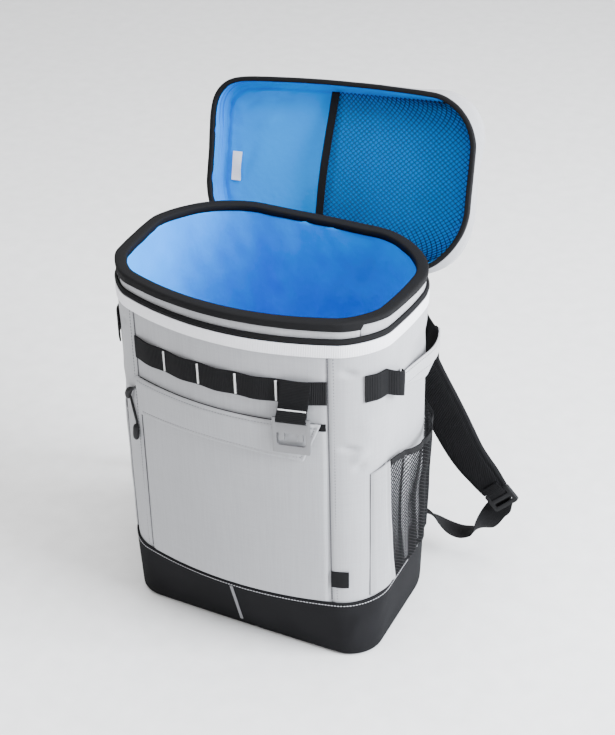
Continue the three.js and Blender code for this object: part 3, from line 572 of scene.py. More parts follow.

# %% [markdown]
# Every piece must say what it belongs to. It rides on a body, and may stand for nodes of the frame.
# A sheet also tells how wide it was cut. Its length comes from the area of its own mesh, so it also
# holds for a shaped piece.


# %% What a piece declares
def ride(piece, slot, *nodes, body="bag"):
    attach(piece, body)
    if nodes:
        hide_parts(*nodes)
    return piece


def sheet(piece, wide, full=1.0):
    """Declares a sheet cut wide millimetres wide. Its cloth covers the share full of the cut, since
    a net's threads leave holes."""
    area = sum(face.area for face in piece.data.polygons) / 2
    cut = max(wide * MM, 0.01)
    length = area / (wide * MM * full)
    print(piece.name, "cut", round(cut, 3), "x", round(length, 3), "m")


def triangles(piece):
    return sum(len(p.vertices) - 2 for p in piece.data.polygons)


print("declarations ready")

# %% [markdown]
# Cloth is never quite flat. A sum of a few slow waves with fixed directions gives soft unevenness,
# and a crease is a short line where the cloth dips or rises. Both are heights in millimetres over a
# place on the cloth. A sewn edge dips too, because the needle pulls it down, and the dip is narrow.

# %% Folds, creases and sewn edges
WAVES = np.random.default_rng(7).uniform(-1, 1, (24, 3))


def uneven(u, v, size, start=0):
    """Between about -1 and 1, changing over roughly size millimetres."""
    total = 0
    for du, dv, phase in WAVES[start:start + 6]:
        total = total + np.sin(TURN * (u * du + v * dv) / size + 9 * phase)
    return total / 3.2


def crease(u, v, start, end, width):
    """1 on the line from start to end, falling to 0 at width beside it and at its ends."""
    (u0, v0), (u1, v1) = start, end
    du, dv = u1 - u0, v1 - v0
    length = math.hypot(du, dv)
    t = ((u - u0) * du + (v - v0) * dv) / length**2
    off = ((u - u0) * dv - (v - v0) * du) / length
    return hump(t) * np.exp(-((off / width) ** 2))


def creases(u, v, rows):
    """Several creases, each with its depth in millimetres."""
    return sum(c["depth"] * crease(u, v, c["from"], c["to"], c["width"]) for c in rows)


def fine_ends(start, end, count, edge=4.0, share=(0, 0.08, 0.3, 0.6)):
    """Even stations with a few more near both ends, for edges that dip."""
    inside = np.linspace(start + edge, end - edge, count)
    near = [s * edge for s in share]
    return np.array([*(start + s for s in near), *inside, *(end - s for s in near[::-1])])


def sewn(distance, depth=0.9, reach=2.2):
    """How far a sewn edge dips at a distance from it."""
    return depth * np.exp(-((np.abs(distance) / reach) ** 2))


print("waves", len(WAVES))

# %% [markdown]
# The body is four cloth panels over foam: front, two sides and back. Between them lie seams. Each
# panel is a thin solid on the wall whose long edges dip into the seam, so the groove is real. The
# front stays almost flat under its pocket. The sides have a few creases near the front seam, where
# the stuffed wall turns.

# %% Body panels
SEAM_LEAN = 1.9
BACK_SEAM = 92
CLOTH = 1.5
PANEL_LOW, PANEL_HIGH = 70, 369
SEAM_ROW = 5.6
FOLDED_EDGE, EDGE_REACH = 3, 2.6
RIGHT_STRENGTH = 1.7
CREASES = [
    {"from": (7, 352), "to": (34, 345), "width": 3.2, "depth": -2.3},
    {"from": (5, 268), "to": (36, 260), "width": 3.2, "depth": -2.6},
    {"from": (18, 250), "to": (44, 259), "width": 5.0, "depth": 1.7},
    {"from": (20, 238), "to": (40, 244), "width": 4.0, "depth": -1.4},
    {"from": (64, 236), "to": (96, 252), "width": 7.0, "depth": -0.9},
    {"from": (30, 300), "to": (48, 268), "width": 8.0, "depth": 0.7},
    {"from": (94, 333), "to": (182, 322), "width": 12.0, "depth": -2.6},
    {"from": (60, 222), "to": (88, 206), "width": 6.0, "depth": -0.7},
]


def seam_x(z):
    """Half width of the front between its two seams."""
    return SEAM + SEAM_LEAN * (BODY_TOP - np.asarray(z, float)) / (BODY_TOP - BOOT_TOP)


def patch(name, material, a, z, out, thick=CLOTH):
    """A cloth solid on the wall: a along the wall, z up, out from the wall to its outer side."""
    return cloth_solid(name, wall(a, z, out), wall(a, z, out - thick), material)


def body_panel(name, start, end, columns, folds, rows=110):
    """A wall panel from start(z) to end(z), both distances along the wall."""
    z = np.linspace(PANEL_LOW, PANEL_HIGH, rows)[:, None]
    share = fine_ends(0, 1, columns, 0.03)[None, :]
    low, high = start(z), end(z)
    a = low + (high - low) * share
    width = np.abs(high - low)
    out = folds(a, z) - sewn(share * width) - sewn((1 - share) * width)
    return patch(name, grey_cloth, a, z, out)


def front_seam(z):
    return front(seam_x(z), z)


def back_seam(z):
    return back(BACK_SEAM, z)


def front_folds(a, z):
    return 0.35 * uneven(a, z, 170)


def side_folds(a, z):
    from_seam = np.abs(a) - front_seam(z)
    right = (a > 0).any()
    total = 0.5 * uneven(a, z, 150, 6 if right else 12)
    total = total + (RIGHT_STRENGTH if right else 1) * creases(from_seam, z, CREASES)
    folded = 0.5 * np.clip(1 - np.abs(from_seam - FOLDED_EDGE) / EDGE_REACH, 0, 1)
    return total - sewn(from_seam - SEAM_ROW, 0.5, 0.8) + folded


panels = [
    body_panel("front_panel", lambda z: -front_seam(z), front_seam, 60, front_folds),
    body_panel("right_side", front_seam, back_seam, 90, side_folds),
    body_panel("left_side", lambda z: -back_seam(z), lambda z: -front_seam(z), 90, side_folds),
]
back_z = np.linspace(PANEL_LOW, PANEL_HIGH, 60)[:, None]
back_x = fine_ends(-BACK_SEAM, BACK_SEAM, 50)[None, :]
back_a = back(np.abs(back_x), back_z)
back_x, back_z = np.broadcast_arrays(back_x, back_z)
back_out = 0.5 * uneven(back_x, back_z, 190, 3) - sewn(BACK_SEAM - np.abs(back_x))


def back_side(out):
    """The back crosses the middle, where the distance along the wall starts anew on each side."""
    points = wall(back_a, back_z, out)
    points[..., 0] *= np.where(back_x < 0, -1, 1)
    return points


panels.append(cloth_solid("back_panel", back_side(back_out), back_side(back_out - CLOTH), grey_cloth))
for panel in panels:
    ride(panel, "grey_cloth", "body_shell")
print("panels", [triangles(p) for p in panels])

# %% [markdown]
# Round the mouth lie four rings: a white band sewn flat, the zip in its groove, the padded collar
# and the black binding that folds over its edge. A ring is the same kind of grid, closed round the
# bag. Its profile is a list of places: out from the wall, and height. The two flat ones come first.

# %% Band and zip
RING_COLUMNS = 340
BAND_LOW = 367.3
COLLAR_LOW, COLLAR_HIGH = 380.35, 401.5
RIM_TOP = 403.05
LINING_OUT = -WALL - GAP
ZIP_TALL = 5.6


def girth(z):
    return by_level(lambda level, value: np.full(value.shape, level[-1, 4]), z, 0)


def round_body(rows, columns=RING_COLUMNS):
    """Distances along the wall for whole rings at the heights in rows."""
    share = np.linspace(-1, 1, columns + 1)[None, :-1]
    return girth(np.asarray(rows, float)[:, None]) * share


def ring_piece(name, material, outer, inner, shift=None):
    """A closed ring from two profiles of (out, z), each from one edge of the cloth to the other."""
    grids = []
    for profile in (outer, inner):
        out, z = np.array(profile, float).T
        a = round_body(z)
        z = z[:, None] + np.zeros_like(a)
        out = out[:, None] + np.zeros_like(a)
        if shift is not None:
            z, out = shift(a, z, out)
        grids.append(wall(a, z, out))
    return cloth_solid(name, *grids, material, wrap=True)


def strip_profile(low, high, inside, outside, count=7, puff=0.3):
    """Profile of a flat band, a little fuller in the middle."""
    v = fine_ends(0, 1, count, 0.08)
    z = low + (high - low) * v
    outer = np.stack([outside - puff + puff * np.sqrt(hump(0.04 + 0.92 * v)), z], 1)
    return outer, np.stack([np.full_like(z, inside), z], 1)


def band_waves(a, z, out):
    return z, out + 0.25 * uneven(a, z, 60)


band = ring_piece("white_band_tape", white_band, *strip_profile(BAND_LOW, BODY_TOP, 0.1, 1.5), band_waves)
ride(band, "white_band", "white_band")
sheet(band, 13)

zip_v = np.linspace(0, 1, 13)
zip_z = COLLAR_LOW + ZIP_TALL * zip_v
zip_out = 0.5 + 0.5 * hump(zip_v) + 0.5 * hump(2 * zip_v - 0.5)
zip_ring = ring_piece(
    "mouth_zip", black_tape, np.stack([zip_out, zip_z], 1), np.stack([zip_out * 0 - 1.8, zip_z], 1)
)
ride(zip_ring, "black_webbing", "body_zip")
sheet(zip_ring, 7.5)
print("band", triangles(band), "zip", triangles(zip_ring))

# %% [markdown]
# The collar is a foam ring in grey cloth, fullest in the middle of its height. It is joined from
# two lengths at the front corners, and the joins are drawn in by their thread.

# %% Collar
JOIN_Y = -89
COLLAR_IN = -7.9


def corner_seam(z):
    """Where the collar and its binding are joined, at the front corners."""
    return side(JOIN_Y, z)


def collar_folds(a, z, out):
    v = (z - COLLAR_LOW) / (COLLAR_HIGH - COLLAR_LOW)
    gap = np.abs(np.abs(a) - corner_seam(z))
    soft = 0.5 * uneven(a, z, 70, 9) + 0.3 * uneven(a, z, 26, 2)
    return z, out + np.where(out > -5, soft * np.clip(hump(v), 0, 1) - sewn(gap, 1.1, 2.0), 0)


collar_v = fine_ends(0, 1, 9, 0.1)
collar_z = COLLAR_LOW + (COLLAR_HIGH - COLLAR_LOW) * collar_v
collar_outer = np.stack([-3.4 + 1.7 * np.sqrt(hump(0.05 + 0.9 * collar_v)), collar_z], 1)
collar = ring_piece(
    "collar_pad", grey_cloth, collar_outer, np.stack([collar_z * 0 + COLLAR_IN, collar_z], 1), collar_folds
)
ride(collar, "grey_cloth", "collar")
print("collar", triangles(collar))

# %% [markdown]
# The binding is one tape folded over the collar. Its profile climbs the outside, turns over the
# edge in two rounds, and goes down inside over the lining. The length in front is sewn a little
# lower than those at the sides, so the profile slides up and down along the ring.

# %% Mouth binding
RIM_STEP, RIM_FADE = 5.0, 70
RIM_OUT, RIM_IN, RIM_LEG, RIM_CLOTH = 0.2, -11.6, 7.2, 1.1


def rim_height(a, z):
    """The binding's outer edge hangs lower in front of the corner seam and higher behind it."""
    past = np.abs(a) - corner_seam(z)
    front_part = -0.5 * RIM_STEP * np.exp(np.minimum(past, 0) / RIM_FADE)
    side_part = 0.5 * RIM_STEP * np.exp(-np.maximum(past, 0) / RIM_FADE)
    return np.where(past < 0, front_part, side_part)


def round_part(centre, reach, start, end, count=5):
    """Places (out, z) on a part of a round, between two angles in radians."""
    return [
        (centre[0] + reach[0] * math.cos(t), centre[1] + reach[1] * math.sin(t))
        for t in np.linspace(start, end, count)
    ]


LOW_TURN, HIGH_TURN = math.radians(10), math.radians(80)
rim_fold = np.array([
    (RIM_OUT - 0.2, RIM_TOP - RIM_LEG), (RIM_OUT, RIM_TOP - RIM_LEG + 1.2),
    (RIM_OUT + 0.15, RIM_TOP - 3), (RIM_OUT, RIM_TOP - 1.6),
    *round_part((RIM_OUT - 2.6, RIM_TOP - 1.8), (2.6, 1.8), LOW_TURN, HIGH_TURN),
    (-4.5, RIM_TOP + 0.15), (-7.2, RIM_TOP + 0.1),
    *round_part((RIM_IN + 2.2, RIM_TOP - 1.8), (-2.2, 1.8), HIGH_TURN, LOW_TURN),
    (RIM_IN, RIM_TOP - 3.2), (RIM_IN, RIM_TOP - RIM_LEG),
])
rim_centre = np.array([-5.7, RIM_TOP - 12])
to_centre = rim_centre - rim_fold
to_centre[:, 1] = np.where(rim_fold[:, 1] > RIM_TOP - 1.5, -1.0, to_centre[:, 1] * 0.02)
to_centre /= np.linalg.norm(to_centre, axis=1)[:, None]


def rim_folds(a, z, out):
    outside = np.clip((out + 5) / 4, 0, 1)
    lower = np.clip((RIM_TOP - z) / RIM_LEG, 0, 1)
    wave = 0.35 * uneven(a, z, 55, 4) + 0.15 * uneven(a, z, 18, 11)
    return z + outside * lower * rim_height(a, z) + 0.4 * wave, out + wave * (0.4 + lower)


rim = ring_piece("mouth_binding", black_tape, rim_fold, rim_fold + RIM_CLOTH * to_centre, rim_folds)
ride(rim, "black_webbing", "rim_binding")
sheet(rim, 22.5)
print("binding", triangles(rim))

# %% [markdown]
# The lining hangs inside as one blue tub with a sewn floor. It is slacker than the wall, so it has
# upright folds that fade towards the mouth and the floor, short puckers under the binding, and a
# wavy floor. The floor's rows shrink towards the middle, where a fan closes them.

# %% Lining tub
FLOOR_Z, FLOOR_CORNER = 11.7, 6
LINING_THICK = 1.0
TUB_FOLDS, TUB_COLUMNS = 2.2, 300
tub_z = np.concatenate([np.linspace(RIM_TOP - 3, 60, 46), np.linspace(54, FLOOR_Z + 6, 8)])


def shrunk(edge, share, z):
    """A row of a floor: its edge shrunk towards the middle, at the height z."""
    row = edge.mean(0) + (edge - edge.mean(0)) * share
    row[:, 2] = z(row) if callable(z) else z
    return row[None]


def tub_grid(offset):
    a = round_body(tub_z, TUB_COLUMNS)
    z = tub_z[:, None] + np.zeros_like(a)
    depth = np.clip((RIM_TOP - z) / 40, 0, 1)
    slack = depth * np.clip((z - FLOOR_Z) / 60, 0, 1)
    folds = TUB_FOLDS * uneven(a, 0.35 * z, 48, 5) + 0.7 * uneven(a, 0.6 * z, 17, 10)
    puckers = 0.5 * uneven(a, 0.1 * z, 9, 15) * np.exp(-(((RIM_TOP - 9 - z) / 7) ** 2))
    out = LINING_OUT - 1.4 - offset + np.minimum(slack * folds - 1.2 * slack + puckers, 0.2)
    rows = [wall(a, z, out)]
    edge = rows[0][-1]
    for angle in 0.5 * math.pi * np.linspace(0.25, 1, 4):
        inward = FLOOR_CORNER * (1 - math.cos(angle)) / 100
        rows.append(shrunk(edge, 1 - inward, FLOOR_Z + offset + FLOOR_CORNER * (1 - math.sin(angle))))
    edge = rows[-1][0]
    for share in np.linspace(0.94, 0.03, 30):
        def wavy(row):
            wave = 0.8 * uneven(row[:, 0], row[:, 1], 60, 8) * (1 - share) ** 0.3
            return FLOOR_Z + offset + 0.9 + wave
        rows.append(shrunk(edge, share, wavy))
    return np.concatenate(rows)


tub = cloth_solid(
    "lining_tub", tub_grid(LINING_THICK), tub_grid(0), blue_lining, wrap=True, cap=True
)
ride(tub, "blue_lining", "liner")
sheet(tub, 360)
print("lining", triangles(tub))

# %% [markdown]
# The foot is a shoe of coated cloth. Its wall curves under the bag at a small roll and closes
# below. The upper edge is a turned hem, so it is a little thicker there. A soft ridge runs near the
# right corner, where the stiff cloth was folded in the carton.

# %% Foot
FOOT_CLOTH = 1.8
FOOT_ROLL = 5
FOOT_OUT = GAP + FOOT_CLOTH
FOOT_RIDGES = [
    {"from": (118, 10), "to": (136, 70), "width": 5.0, "depth": 0.9},
    {"from": (150, 20), "to": (176, 64), "width": 7.0, "depth": -0.6},
]


def foot_grid(inset):
    hem = np.array([BOOT_TOP + 0.3, BOOT_TOP, BOOT_TOP - 0.8, BOOT_TOP - 2.2])
    z = np.concatenate([hem, np.linspace(BOOT_TOP - 4, FOOT_ROLL, 30)])
    a = round_body(z)
    z = z[:, None] + np.zeros_like(a)
    out = FOOT_OUT - inset + 0.3 * uneven(a, z, 110, 3) + creases(a, z, FOOT_RIDGES)
    rows = [wall(a, z, out - (0.5 if inset == 0 else 0) * (z > BOOT_TOP - 0.5))]
    for angle in 0.5 * math.pi * np.linspace(0.2, 1, 5):
        reach = FOOT_OUT - inset - FOOT_ROLL * (1 - math.cos(angle))
        row = wall(round_body([FOOT_ROLL]), FOOT_ROLL, reach)
        row[..., 2] = max(FOOT_ROLL * (1 - math.sin(angle)), 0.0) + inset * math.sin(angle)
        rows.append(row)
    edge = rows[-1][0]
    return np.concatenate(rows + [shrunk(edge, share, inset) for share in np.linspace(0.93, 0.03, 20)])


foot_grids = foot_grid(0), foot_grid(FOOT_CLOTH - 0.3)
foot = cloth_solid("coated_foot", *foot_grids, black_coated, wrap=True, cap=True)
ride(foot, "black_coated", "base_boot")
sheet(foot, 210)
print("foot", triangles(foot))

# %% [markdown]
# A narrow grey stripe runs down the middle of the foot's front. It is a strip laid on the coated
# cloth, with rounded long edges, so that light ends softly on them.

# %% Stripe on the foot
STRIPE = {"x": -3.3, "width": 3.4, "low": 10, "high": 70}
stripe_z = np.linspace(STRIPE["low"], STRIPE["high"], 40)[:, None]
stripe_across = np.array([-0.5, -0.45, -0.25, 0, 0.25, 0.45, 0.5])[None, :]
stripe_x = STRIPE["x"] + STRIPE["width"] * stripe_across
stripe_out = FOOT_OUT + 0.75 - 0.35 * np.abs(2 * stripe_across) ** 6
stripe = patch("foot_stripe", stripe_grey, front(stripe_x, stripe_z), stripe_z, stripe_out, 0.6)
ride(stripe, "grey_cloth", "boot_stripe")
sheet(stripe, 3.5)
print("stripe", triangles(stripe))

# %% [markdown]
# Stitches and bar tacks are one small shape repeated at even steps, and a net is one kind of strand
# on many lines. Geometry Nodes do both. This helper starts such a tree: it makes the named inputs
# and one function that adds a node, and closes the tree with real meshes in the given material.


# %% Builder for node trees
def new_tree(name, inputs):
    """A node tree with a Geometry input and output and the named inputs {name: socket type}."""
    tree = bpy.data.node_groups.new(name, "GeometryNodeTree")
    tree.interface.new_socket("Places", in_out="INPUT", socket_type="NodeSocketGeometry")
    keys = {}
    for label, kind in inputs.items():
        keys[label] = tree.interface.new_socket(label, in_out="INPUT", socket_type=kind).identifier
    tree.interface.new_socket("Pieces", in_out="OUTPUT", socket_type="NodeSocketGeometry")
    start, end = tree.nodes.new("NodeGroupInput"), tree.nodes.new("NodeGroupOutput")

    def node(kind, settings=None, **links):
        made = tree.nodes.new(kind)
        for key, value in (settings or {}).items():
            setattr(made, key, value)
        for key, value in links.items():
            socket = made.inputs[key.replace("_", " ")]
            if isinstance(value, bpy.types.NodeSocket):
                tree.links.new(value, socket)
            else:
                socket.default_value = value
        return made

    def close(geometry):
        real = node("GeometryNodeRealizeInstances", Geometry=geometry)
        finish = start.outputs["Material"]
        painted = node("GeometryNodeSetMaterial", Geometry=real.outputs[0], Material=finish)
        tree.links.new(painted.outputs[0], end.inputs[0])
    return tree, keys, start.outputs, node, close


print("tree builder ready")

# %% [markdown]
# The first tree puts a rounded grain on every point of a mesh and turns it by two directions that
# the points carry: along the thread, and away from the cloth. The second turns edges into round
# strands. The sizes are inputs of the trees, so one tree serves every thread on the bag.

# %% Grains on points, strands on edges
NUMBER, FINISH = "NodeSocketFloat", "NodeSocketMaterial"
grain_tree, grain_keys, given, node, close = new_tree(
    "grains_on_points", {"Length": NUMBER, "Width": NUMBER, "Height": NUMBER, "Material": FINISH}
)
ball = node("GeometryNodeMeshUVSphere", Segments=6, Rings=4, Radius=0.5)
size = node("ShaderNodeCombineXYZ", X=given["Length"], Y=given["Width"], Z=given["Height"])
along = node("GeometryNodeInputNamedAttribute", {"data_type": "FLOAT_VECTOR"}, Name="along")
away = node("GeometryNodeInputNamedAttribute", {"data_type": "FLOAT_VECTOR"}, Name="away")
turned = node("FunctionNodeAxesToRotation", {"primary_axis": "X", "secondary_axis": "Z"})
grain_tree.links.new(along.outputs[0], turned.inputs[0])
grain_tree.links.new(away.outputs[0], turned.inputs[1])
scattered = node(
    "GeometryNodeInstanceOnPoints", Points=given["Places"], Instance=ball.outputs[0],
    Rotation=turned.outputs[0], Scale=size.outputs[0],
)
close(scattered.outputs[0])

strand_tree, strand_keys, given, node, close = new_tree(
    "strands_on_edges", {"Radius": NUMBER, "Material": FINISH}
)
lines = node("GeometryNodeMeshToCurve", Mesh=given["Places"])
circle = node("GeometryNodeCurvePrimitiveCircle", Resolution=4, Radius=given["Radius"])
tubes = node(
    "GeometryNodeCurveToMesh", Curve=lines.outputs[0], Profile_Curve=circle.outputs[0], Fill_Caps=True
)
close(tubes.outputs[0])
print("trees", grain_tree.name, strand_tree.name)

# %% [markdown]
# A tree runs once for each piece, on a mesh of bare points or edges. Its result is kept as a plain
# mesh, and the bare mesh goes.


# %% Running a tree
def run_tree(name, tree, keys, points, edges, material, vectors=None, **sizes):
    """Puts a tree on points and edges in millimetres and turns the result into a plain mesh."""
    mesh = bpy.data.meshes.new(name + "_places")
    mesh.from_pydata((np.asarray(points) * MM).tolist(), edges, [])
    for key, values in (vectors or {}).items():
        layer = mesh.attributes.new(key, "FLOAT_VECTOR", "POINT")
        layer.data.foreach_set("vector", np.asarray(values, np.float32).ravel())
    source = add(name + "_places", mesh)
    modifier = source.modifiers.new("repeat", "NODES")
    modifier.node_group = tree
    for label, value in sizes.items():
        modifier[keys[label]] = value * MM
    modifier[keys["Material"]] = material
    bpy.context.view_layer.update()
    result = bpy.data.meshes.new_from_object(source.evaluated_get(bpy.context.evaluated_depsgraph_get()))
    bpy.data.objects.remove(source)
    result.name = name
    result.shade_smooth()
    return add(name, result)


print("run ready")

# %% [markdown]
# A thread starts as a line of points on the cloth, each with its direction away from it. Even steps
# along that line are the needle's holes. Stitches lie along the line, and the short threads of a
# bar tack lie across it, each turned a little the other way.


# %% Stitches and bar tacks
def thread_line(points, away, pitch):
    """Places at even steps on a line of points, with their two directions."""
    run = np.concatenate([[0], np.cumsum(np.linalg.norm(np.diff(points, axis=0), axis=1))])
    at = np.arange(0.5 * pitch, run[-1], pitch)

    def on_line(values, where):
        return np.stack([np.interp(where, run, values[:, k]) for k in range(3)], 1)
    return on_line(points, at), on_line(points, at + 0.5) - on_line(points, at - 0.5), on_line(away, at)


def on_wall(a, z, out):
    """A line on the wall as points with their directions away from it."""
    a, z = np.broadcast_arrays(np.asarray(a, float), np.asarray(z, float))
    return wall(a, z, out), wall(a, z, np.asarray(out) + 1) - wall(a, z, out)


def grains(name, parts, material, length, width, height):
    """One object with a grain on every place of several parts (place, forward, facing)."""
    place, forward, facing = (np.concatenate(p) for p in zip(*parts))
    return run_tree(
        name, grain_tree, grain_keys, place, [], material, {"along": forward, "away": facing},
        Length=length, Width=width, Height=height,
    )


def stitches(name, lines, material, pitch, length, width, height):
    """One object with the stitches of several lines (points, away)."""
    return grains(name, [thread_line(*line, pitch) for line in lines], material, length, width, height)


TACK_PITCH, TACK_THREAD = 0.55, (0.7, 0.9)


def tacks(name, lines, material, width):
    """Bar tacks: a line of short threads that lie across it."""
    parts = []
    for line in lines:
        place, forward, facing = thread_line(*line, TACK_PITCH)
        zigzag = np.where(np.arange(len(place)) % 2, 0.25, -0.25)[:, None]
        parts.append((place, np.cross(facing, forward) + zigzag * forward, facing))
    return grains(name, parts, material, width, *TACK_THREAD)


print("thread helpers ready")

# %% [markdown]
# The front pocket is one flat panel with a zip above it. The panel is sewn down along its sides and
# foot, and bulges a little less towards them. The zip is a narrow tape with a raised middle. The
# flap that comes next is cut aslant at its right end, and a bit of this zip shows there.

# %% Front pocket and its zip
POCKET_SIDE, POCKET_LOW, POCKET_TOP = 101.5, 76.9, 285.15
FLAP_TOP = 293.5

pocket_x = fine_ends(-POCKET_SIDE, POCKET_SIDE, 90)[None, :]
pocket_z = fine_ends(POCKET_LOW, POCKET_TOP, 90)[:, None]


def pocket_out(x, z):
    edge = np.minimum(POCKET_SIDE - np.abs(x), z - POCKET_LOW + 2)
    soft = 0.45 * uneven(x, z, 120, 7) + 0.2 * uneven(x, z, 45, 13)
    return 1.9 + soft * np.clip(edge / 15, 0, 1) - sewn(edge, 0.9, 1.6)


pocket = patch(
    "pocket_front", grey_cloth, front(pocket_x, pocket_z), pocket_z, pocket_out(pocket_x, pocket_z), 1.4
)
ride(pocket, "grey_cloth", "pocket_panel")
sheet(pocket, 203)

zip_x = fine_ends(-POCKET_SIDE, POCKET_SIDE, 60)[None, :]
zip_rows = np.linspace(POCKET_TOP + 0.35, FLAP_TOP - 0.35, 9)[:, None]
zip_relief = 0.9 + 0.7 * hump((zip_rows - zip_rows[0]) / (zip_rows[-1] - zip_rows[0]))
pocket_zip = patch("pocket_zip_tape", black_tape, front(zip_x, zip_rows), zip_rows, zip_relief, 1.0)
ride(pocket_zip, "black_webbing", "pocket_zip")
sheet(pocket_zip, 9)
print("pocket", triangles(pocket), "zip", triangles(pocket_zip))

# %% [markdown]
# The flap hangs over that zip. It is double cloth, longer above than below, and its seams are dips
# in the grid at fixed distances from its edges. The rows of stitches lie in those dips, and a dark
# row of thread under the lower edge is painted shadow, where the flap stands off.

# %% Flap
FLAP_HEIGHT, FLAP_LENGTH, FLAP_SAG = 37, 190, 5
FLAP_IN, FLAP_CLOTH = 2.5, 1.5
FLAP_ENDS = {"top": (-105, 97), "bottom": (-99, 81)}
EDGE_ROW, TOP_ROW = 3.4, 3.0


def flap_place(t, v):
    """x and z on the flap: t from its left end to its right, v from its lower edge to its top."""
    top = FLAP_ENDS["top"][0] + (FLAP_ENDS["top"][1] - FLAP_ENDS["top"][0]) * t
    low = FLAP_ENDS["bottom"][0] + (FLAP_ENDS["bottom"][1] - FLAP_ENDS["bottom"][0]) * t
    x = low + (top - low) * v
    return x, FLAP_TOP - FLAP_HEIGHT * (1 - v) - FLAP_SAG * (2 * t - 1) ** 2 * (1 - v)


flap_t = fine_ends(0, 1, 100, 0.02)[None, :]
flap_v = fine_ends(0, 1, 24, 0.08)[:, None]
flap_x, flap_z = flap_place(flap_t, flap_v)
flap_edge = np.minimum(FLAP_LENGTH * np.minimum(flap_t, 1 - flap_t), flap_v * FLAP_HEIGHT)
flap_down = (1 - flap_v) * FLAP_HEIGHT
flap_out = FLAP_IN + FLAP_CLOTH + 1.0 + 0.4 * uneven(flap_x, flap_z, 90, 5)
flap_out = flap_out - sewn(flap_edge - EDGE_ROW, 0.8, 0.8) - sewn(flap_edge, 0.4, 0.4)
flap_out = flap_out - sewn(flap_down - TOP_ROW, 0.9, 0.8) - 2.2 * np.clip(1 - flap_down / 1.2, 0, 1)
flap = patch("pocket_flap_cloth", grey_cloth, front(flap_x, flap_z), flap_z, flap_out, 1.3)
ride(flap, "grey_cloth", "pocket_flap")
sheet(flap, 43)


def flap_line(t, v, lift):
    x, z = flap_place(t, v)
    return on_wall(front(x, z), z, lift)


many = np.linspace(0, 1, 160)
flap_thread = stitches("flap_stitches", [
    flap_line(0.012 + 0.976 * many, 1 - TOP_ROW / FLAP_HEIGHT, 4.35),
    flap_line(0.012 + 0.976 * many, EDGE_ROW / FLAP_HEIGHT, 4.45),
    flap_line(0.982, 0.1 + 0.8 * many, 4.45),
], dark_thread_and_shade, 3.2, 2.3, 0.6, 0.5)
# Painted shadow: a tight row of dark thread just below the flap's lower edge, where the flap stands off.
shadow_row_under_flap = flap_line(0.02 + 0.95 * many, -0.012, 2.3)
flap_painted_shadow = stitches("flap_under_edge", [shadow_row_under_flap], dark_thread_and_shade, 3.0, 4.2, 0.9, 0.8)
for thread in (flap_thread, flap_painted_shadow):
    ride(thread, "grey_cloth")
print("flap", triangles(flap), "thread", triangles(flap_thread))

# %% [markdown]
# A webbing runs across the front, held by white bar tacks. Between two tacks it is a little slack,
# so each stretch arches. A short webbing hangs from its right end, carries the bottle opener in
# its bend, and has a white tack of its own.

# %% Front webbing
WEB_TOP, WEB_TALL, WEB_CLOTH, WEB_RISE = 340.5, 25, 1.6, 1.8
TACK_X = (-63, -23, 17, 57)
WEB_ENDS = (-SEAM, *TACK_X, SEAM)
web_x = np.concatenate([np.linspace(a, b, 22)[:-1] for a, b in zip(WEB_ENDS, WEB_ENDS[1:])] + [[SEAM]])
web_x = np.clip(web_x, GAP - SEAM, SEAM - GAP)[None, :]


def webbing_rise(x):
    """How far the webbing arches off the cloth."""
    spans = np.array(WEB_ENDS)
    k = np.clip(np.searchsorted(spans, x) - 1, 0, len(spans) - 2)
    return WEB_RISE * hump((x - spans[k]) / (spans[k + 1] - spans[k]))


web_v = fine_ends(0, 1, 7, 0.06)[:, None]
web_z = WEB_TOP + (web_v - 1) * WEB_TALL
web_out = GAP + WEB_CLOTH + webbing_rise(web_x) + 0.12 * uneven(web_x, web_z, 30)
web_out = web_out - 0.25 * (1 - hump(web_v) ** 0.25)
webbing = patch("front_webbing", black_webbing, front(web_x, web_z), web_z, web_out, 1.35)
ride(webbing, "black_webbing", "daisy_webbing")
sheet(webbing, 25)
tack_z = np.linspace(WEB_TOP - WEB_TALL + 1.2, WEB_TOP - 1.2, 30)
front_tacks = tacks(
    "front_tacks", [on_wall(front(x, tack_z), tack_z, GAP + WEB_CLOTH + 0.2) for x in TACK_X],
    white_thread, 3.0,
)
ride(front_tacks, "white_band")
print("webbing", triangles(webbing), "tacks", triangles(front_tacks))

# %% [markdown]
# The opener hangs in the bend of its webbing. The plate is the one hard, moving piece, so its CAD
# shape stays as it is, and a copy gets rounded edges, because a stamped plate is tumbled smooth. The
# ladder locks get them too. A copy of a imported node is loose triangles, so its doubles are merged
# first.


# %% Rounded hard pieces
def rounded_copy(node, name, material, radius, segments=3):
    """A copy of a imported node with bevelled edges, in place."""
    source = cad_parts[node]
    mesh = source.data.copy()
    mesh.transform(source.matrix_world)
    mesh.materials.clear()
    work = bmesh.new()
    work.from_mesh(mesh)
    bmesh.ops.remove_doubles(work, verts=work.verts, dist=0.00002)
    bmesh.ops.dissolve_limit(work, angle_limit=math.radians(1), verts=work.verts, edges=work.edges)
    sharp = [e for e in work.edges if e.calc_face_angle(0) > math.radians(25)]
    bmesh.ops.bevel(
        work, geom=sharp, offset=radius * MM, segments=segments, profile=0.5,
        affect="EDGES", clamp_overlap=True,
    )
    bmesh.ops.triangulate(work, faces=work.faces)
    work.to_mesh(mesh)
    work.free()
    mesh.shade_smooth()
    mesh.set_sharp_from_angle(angle=math.radians(50))
    mesh.materials.append(material)
    mesh.name = name
    return add(name, mesh)


opener = rounded_copy("opener", "opener_plate", satin_steel, 0.45)
ride(opener, "satin_metal", "opener", body="opener")
for side_name in ("left", "right"):
    lock = rounded_copy(f"buckle_{side_name}", f"ladder_lock_{side_name}", black_plastic, 0.5)
    ride(lock, "black_plastic", f"buckle_{side_name}")
print("opener", triangles(opener), "lock", triangles(lock))

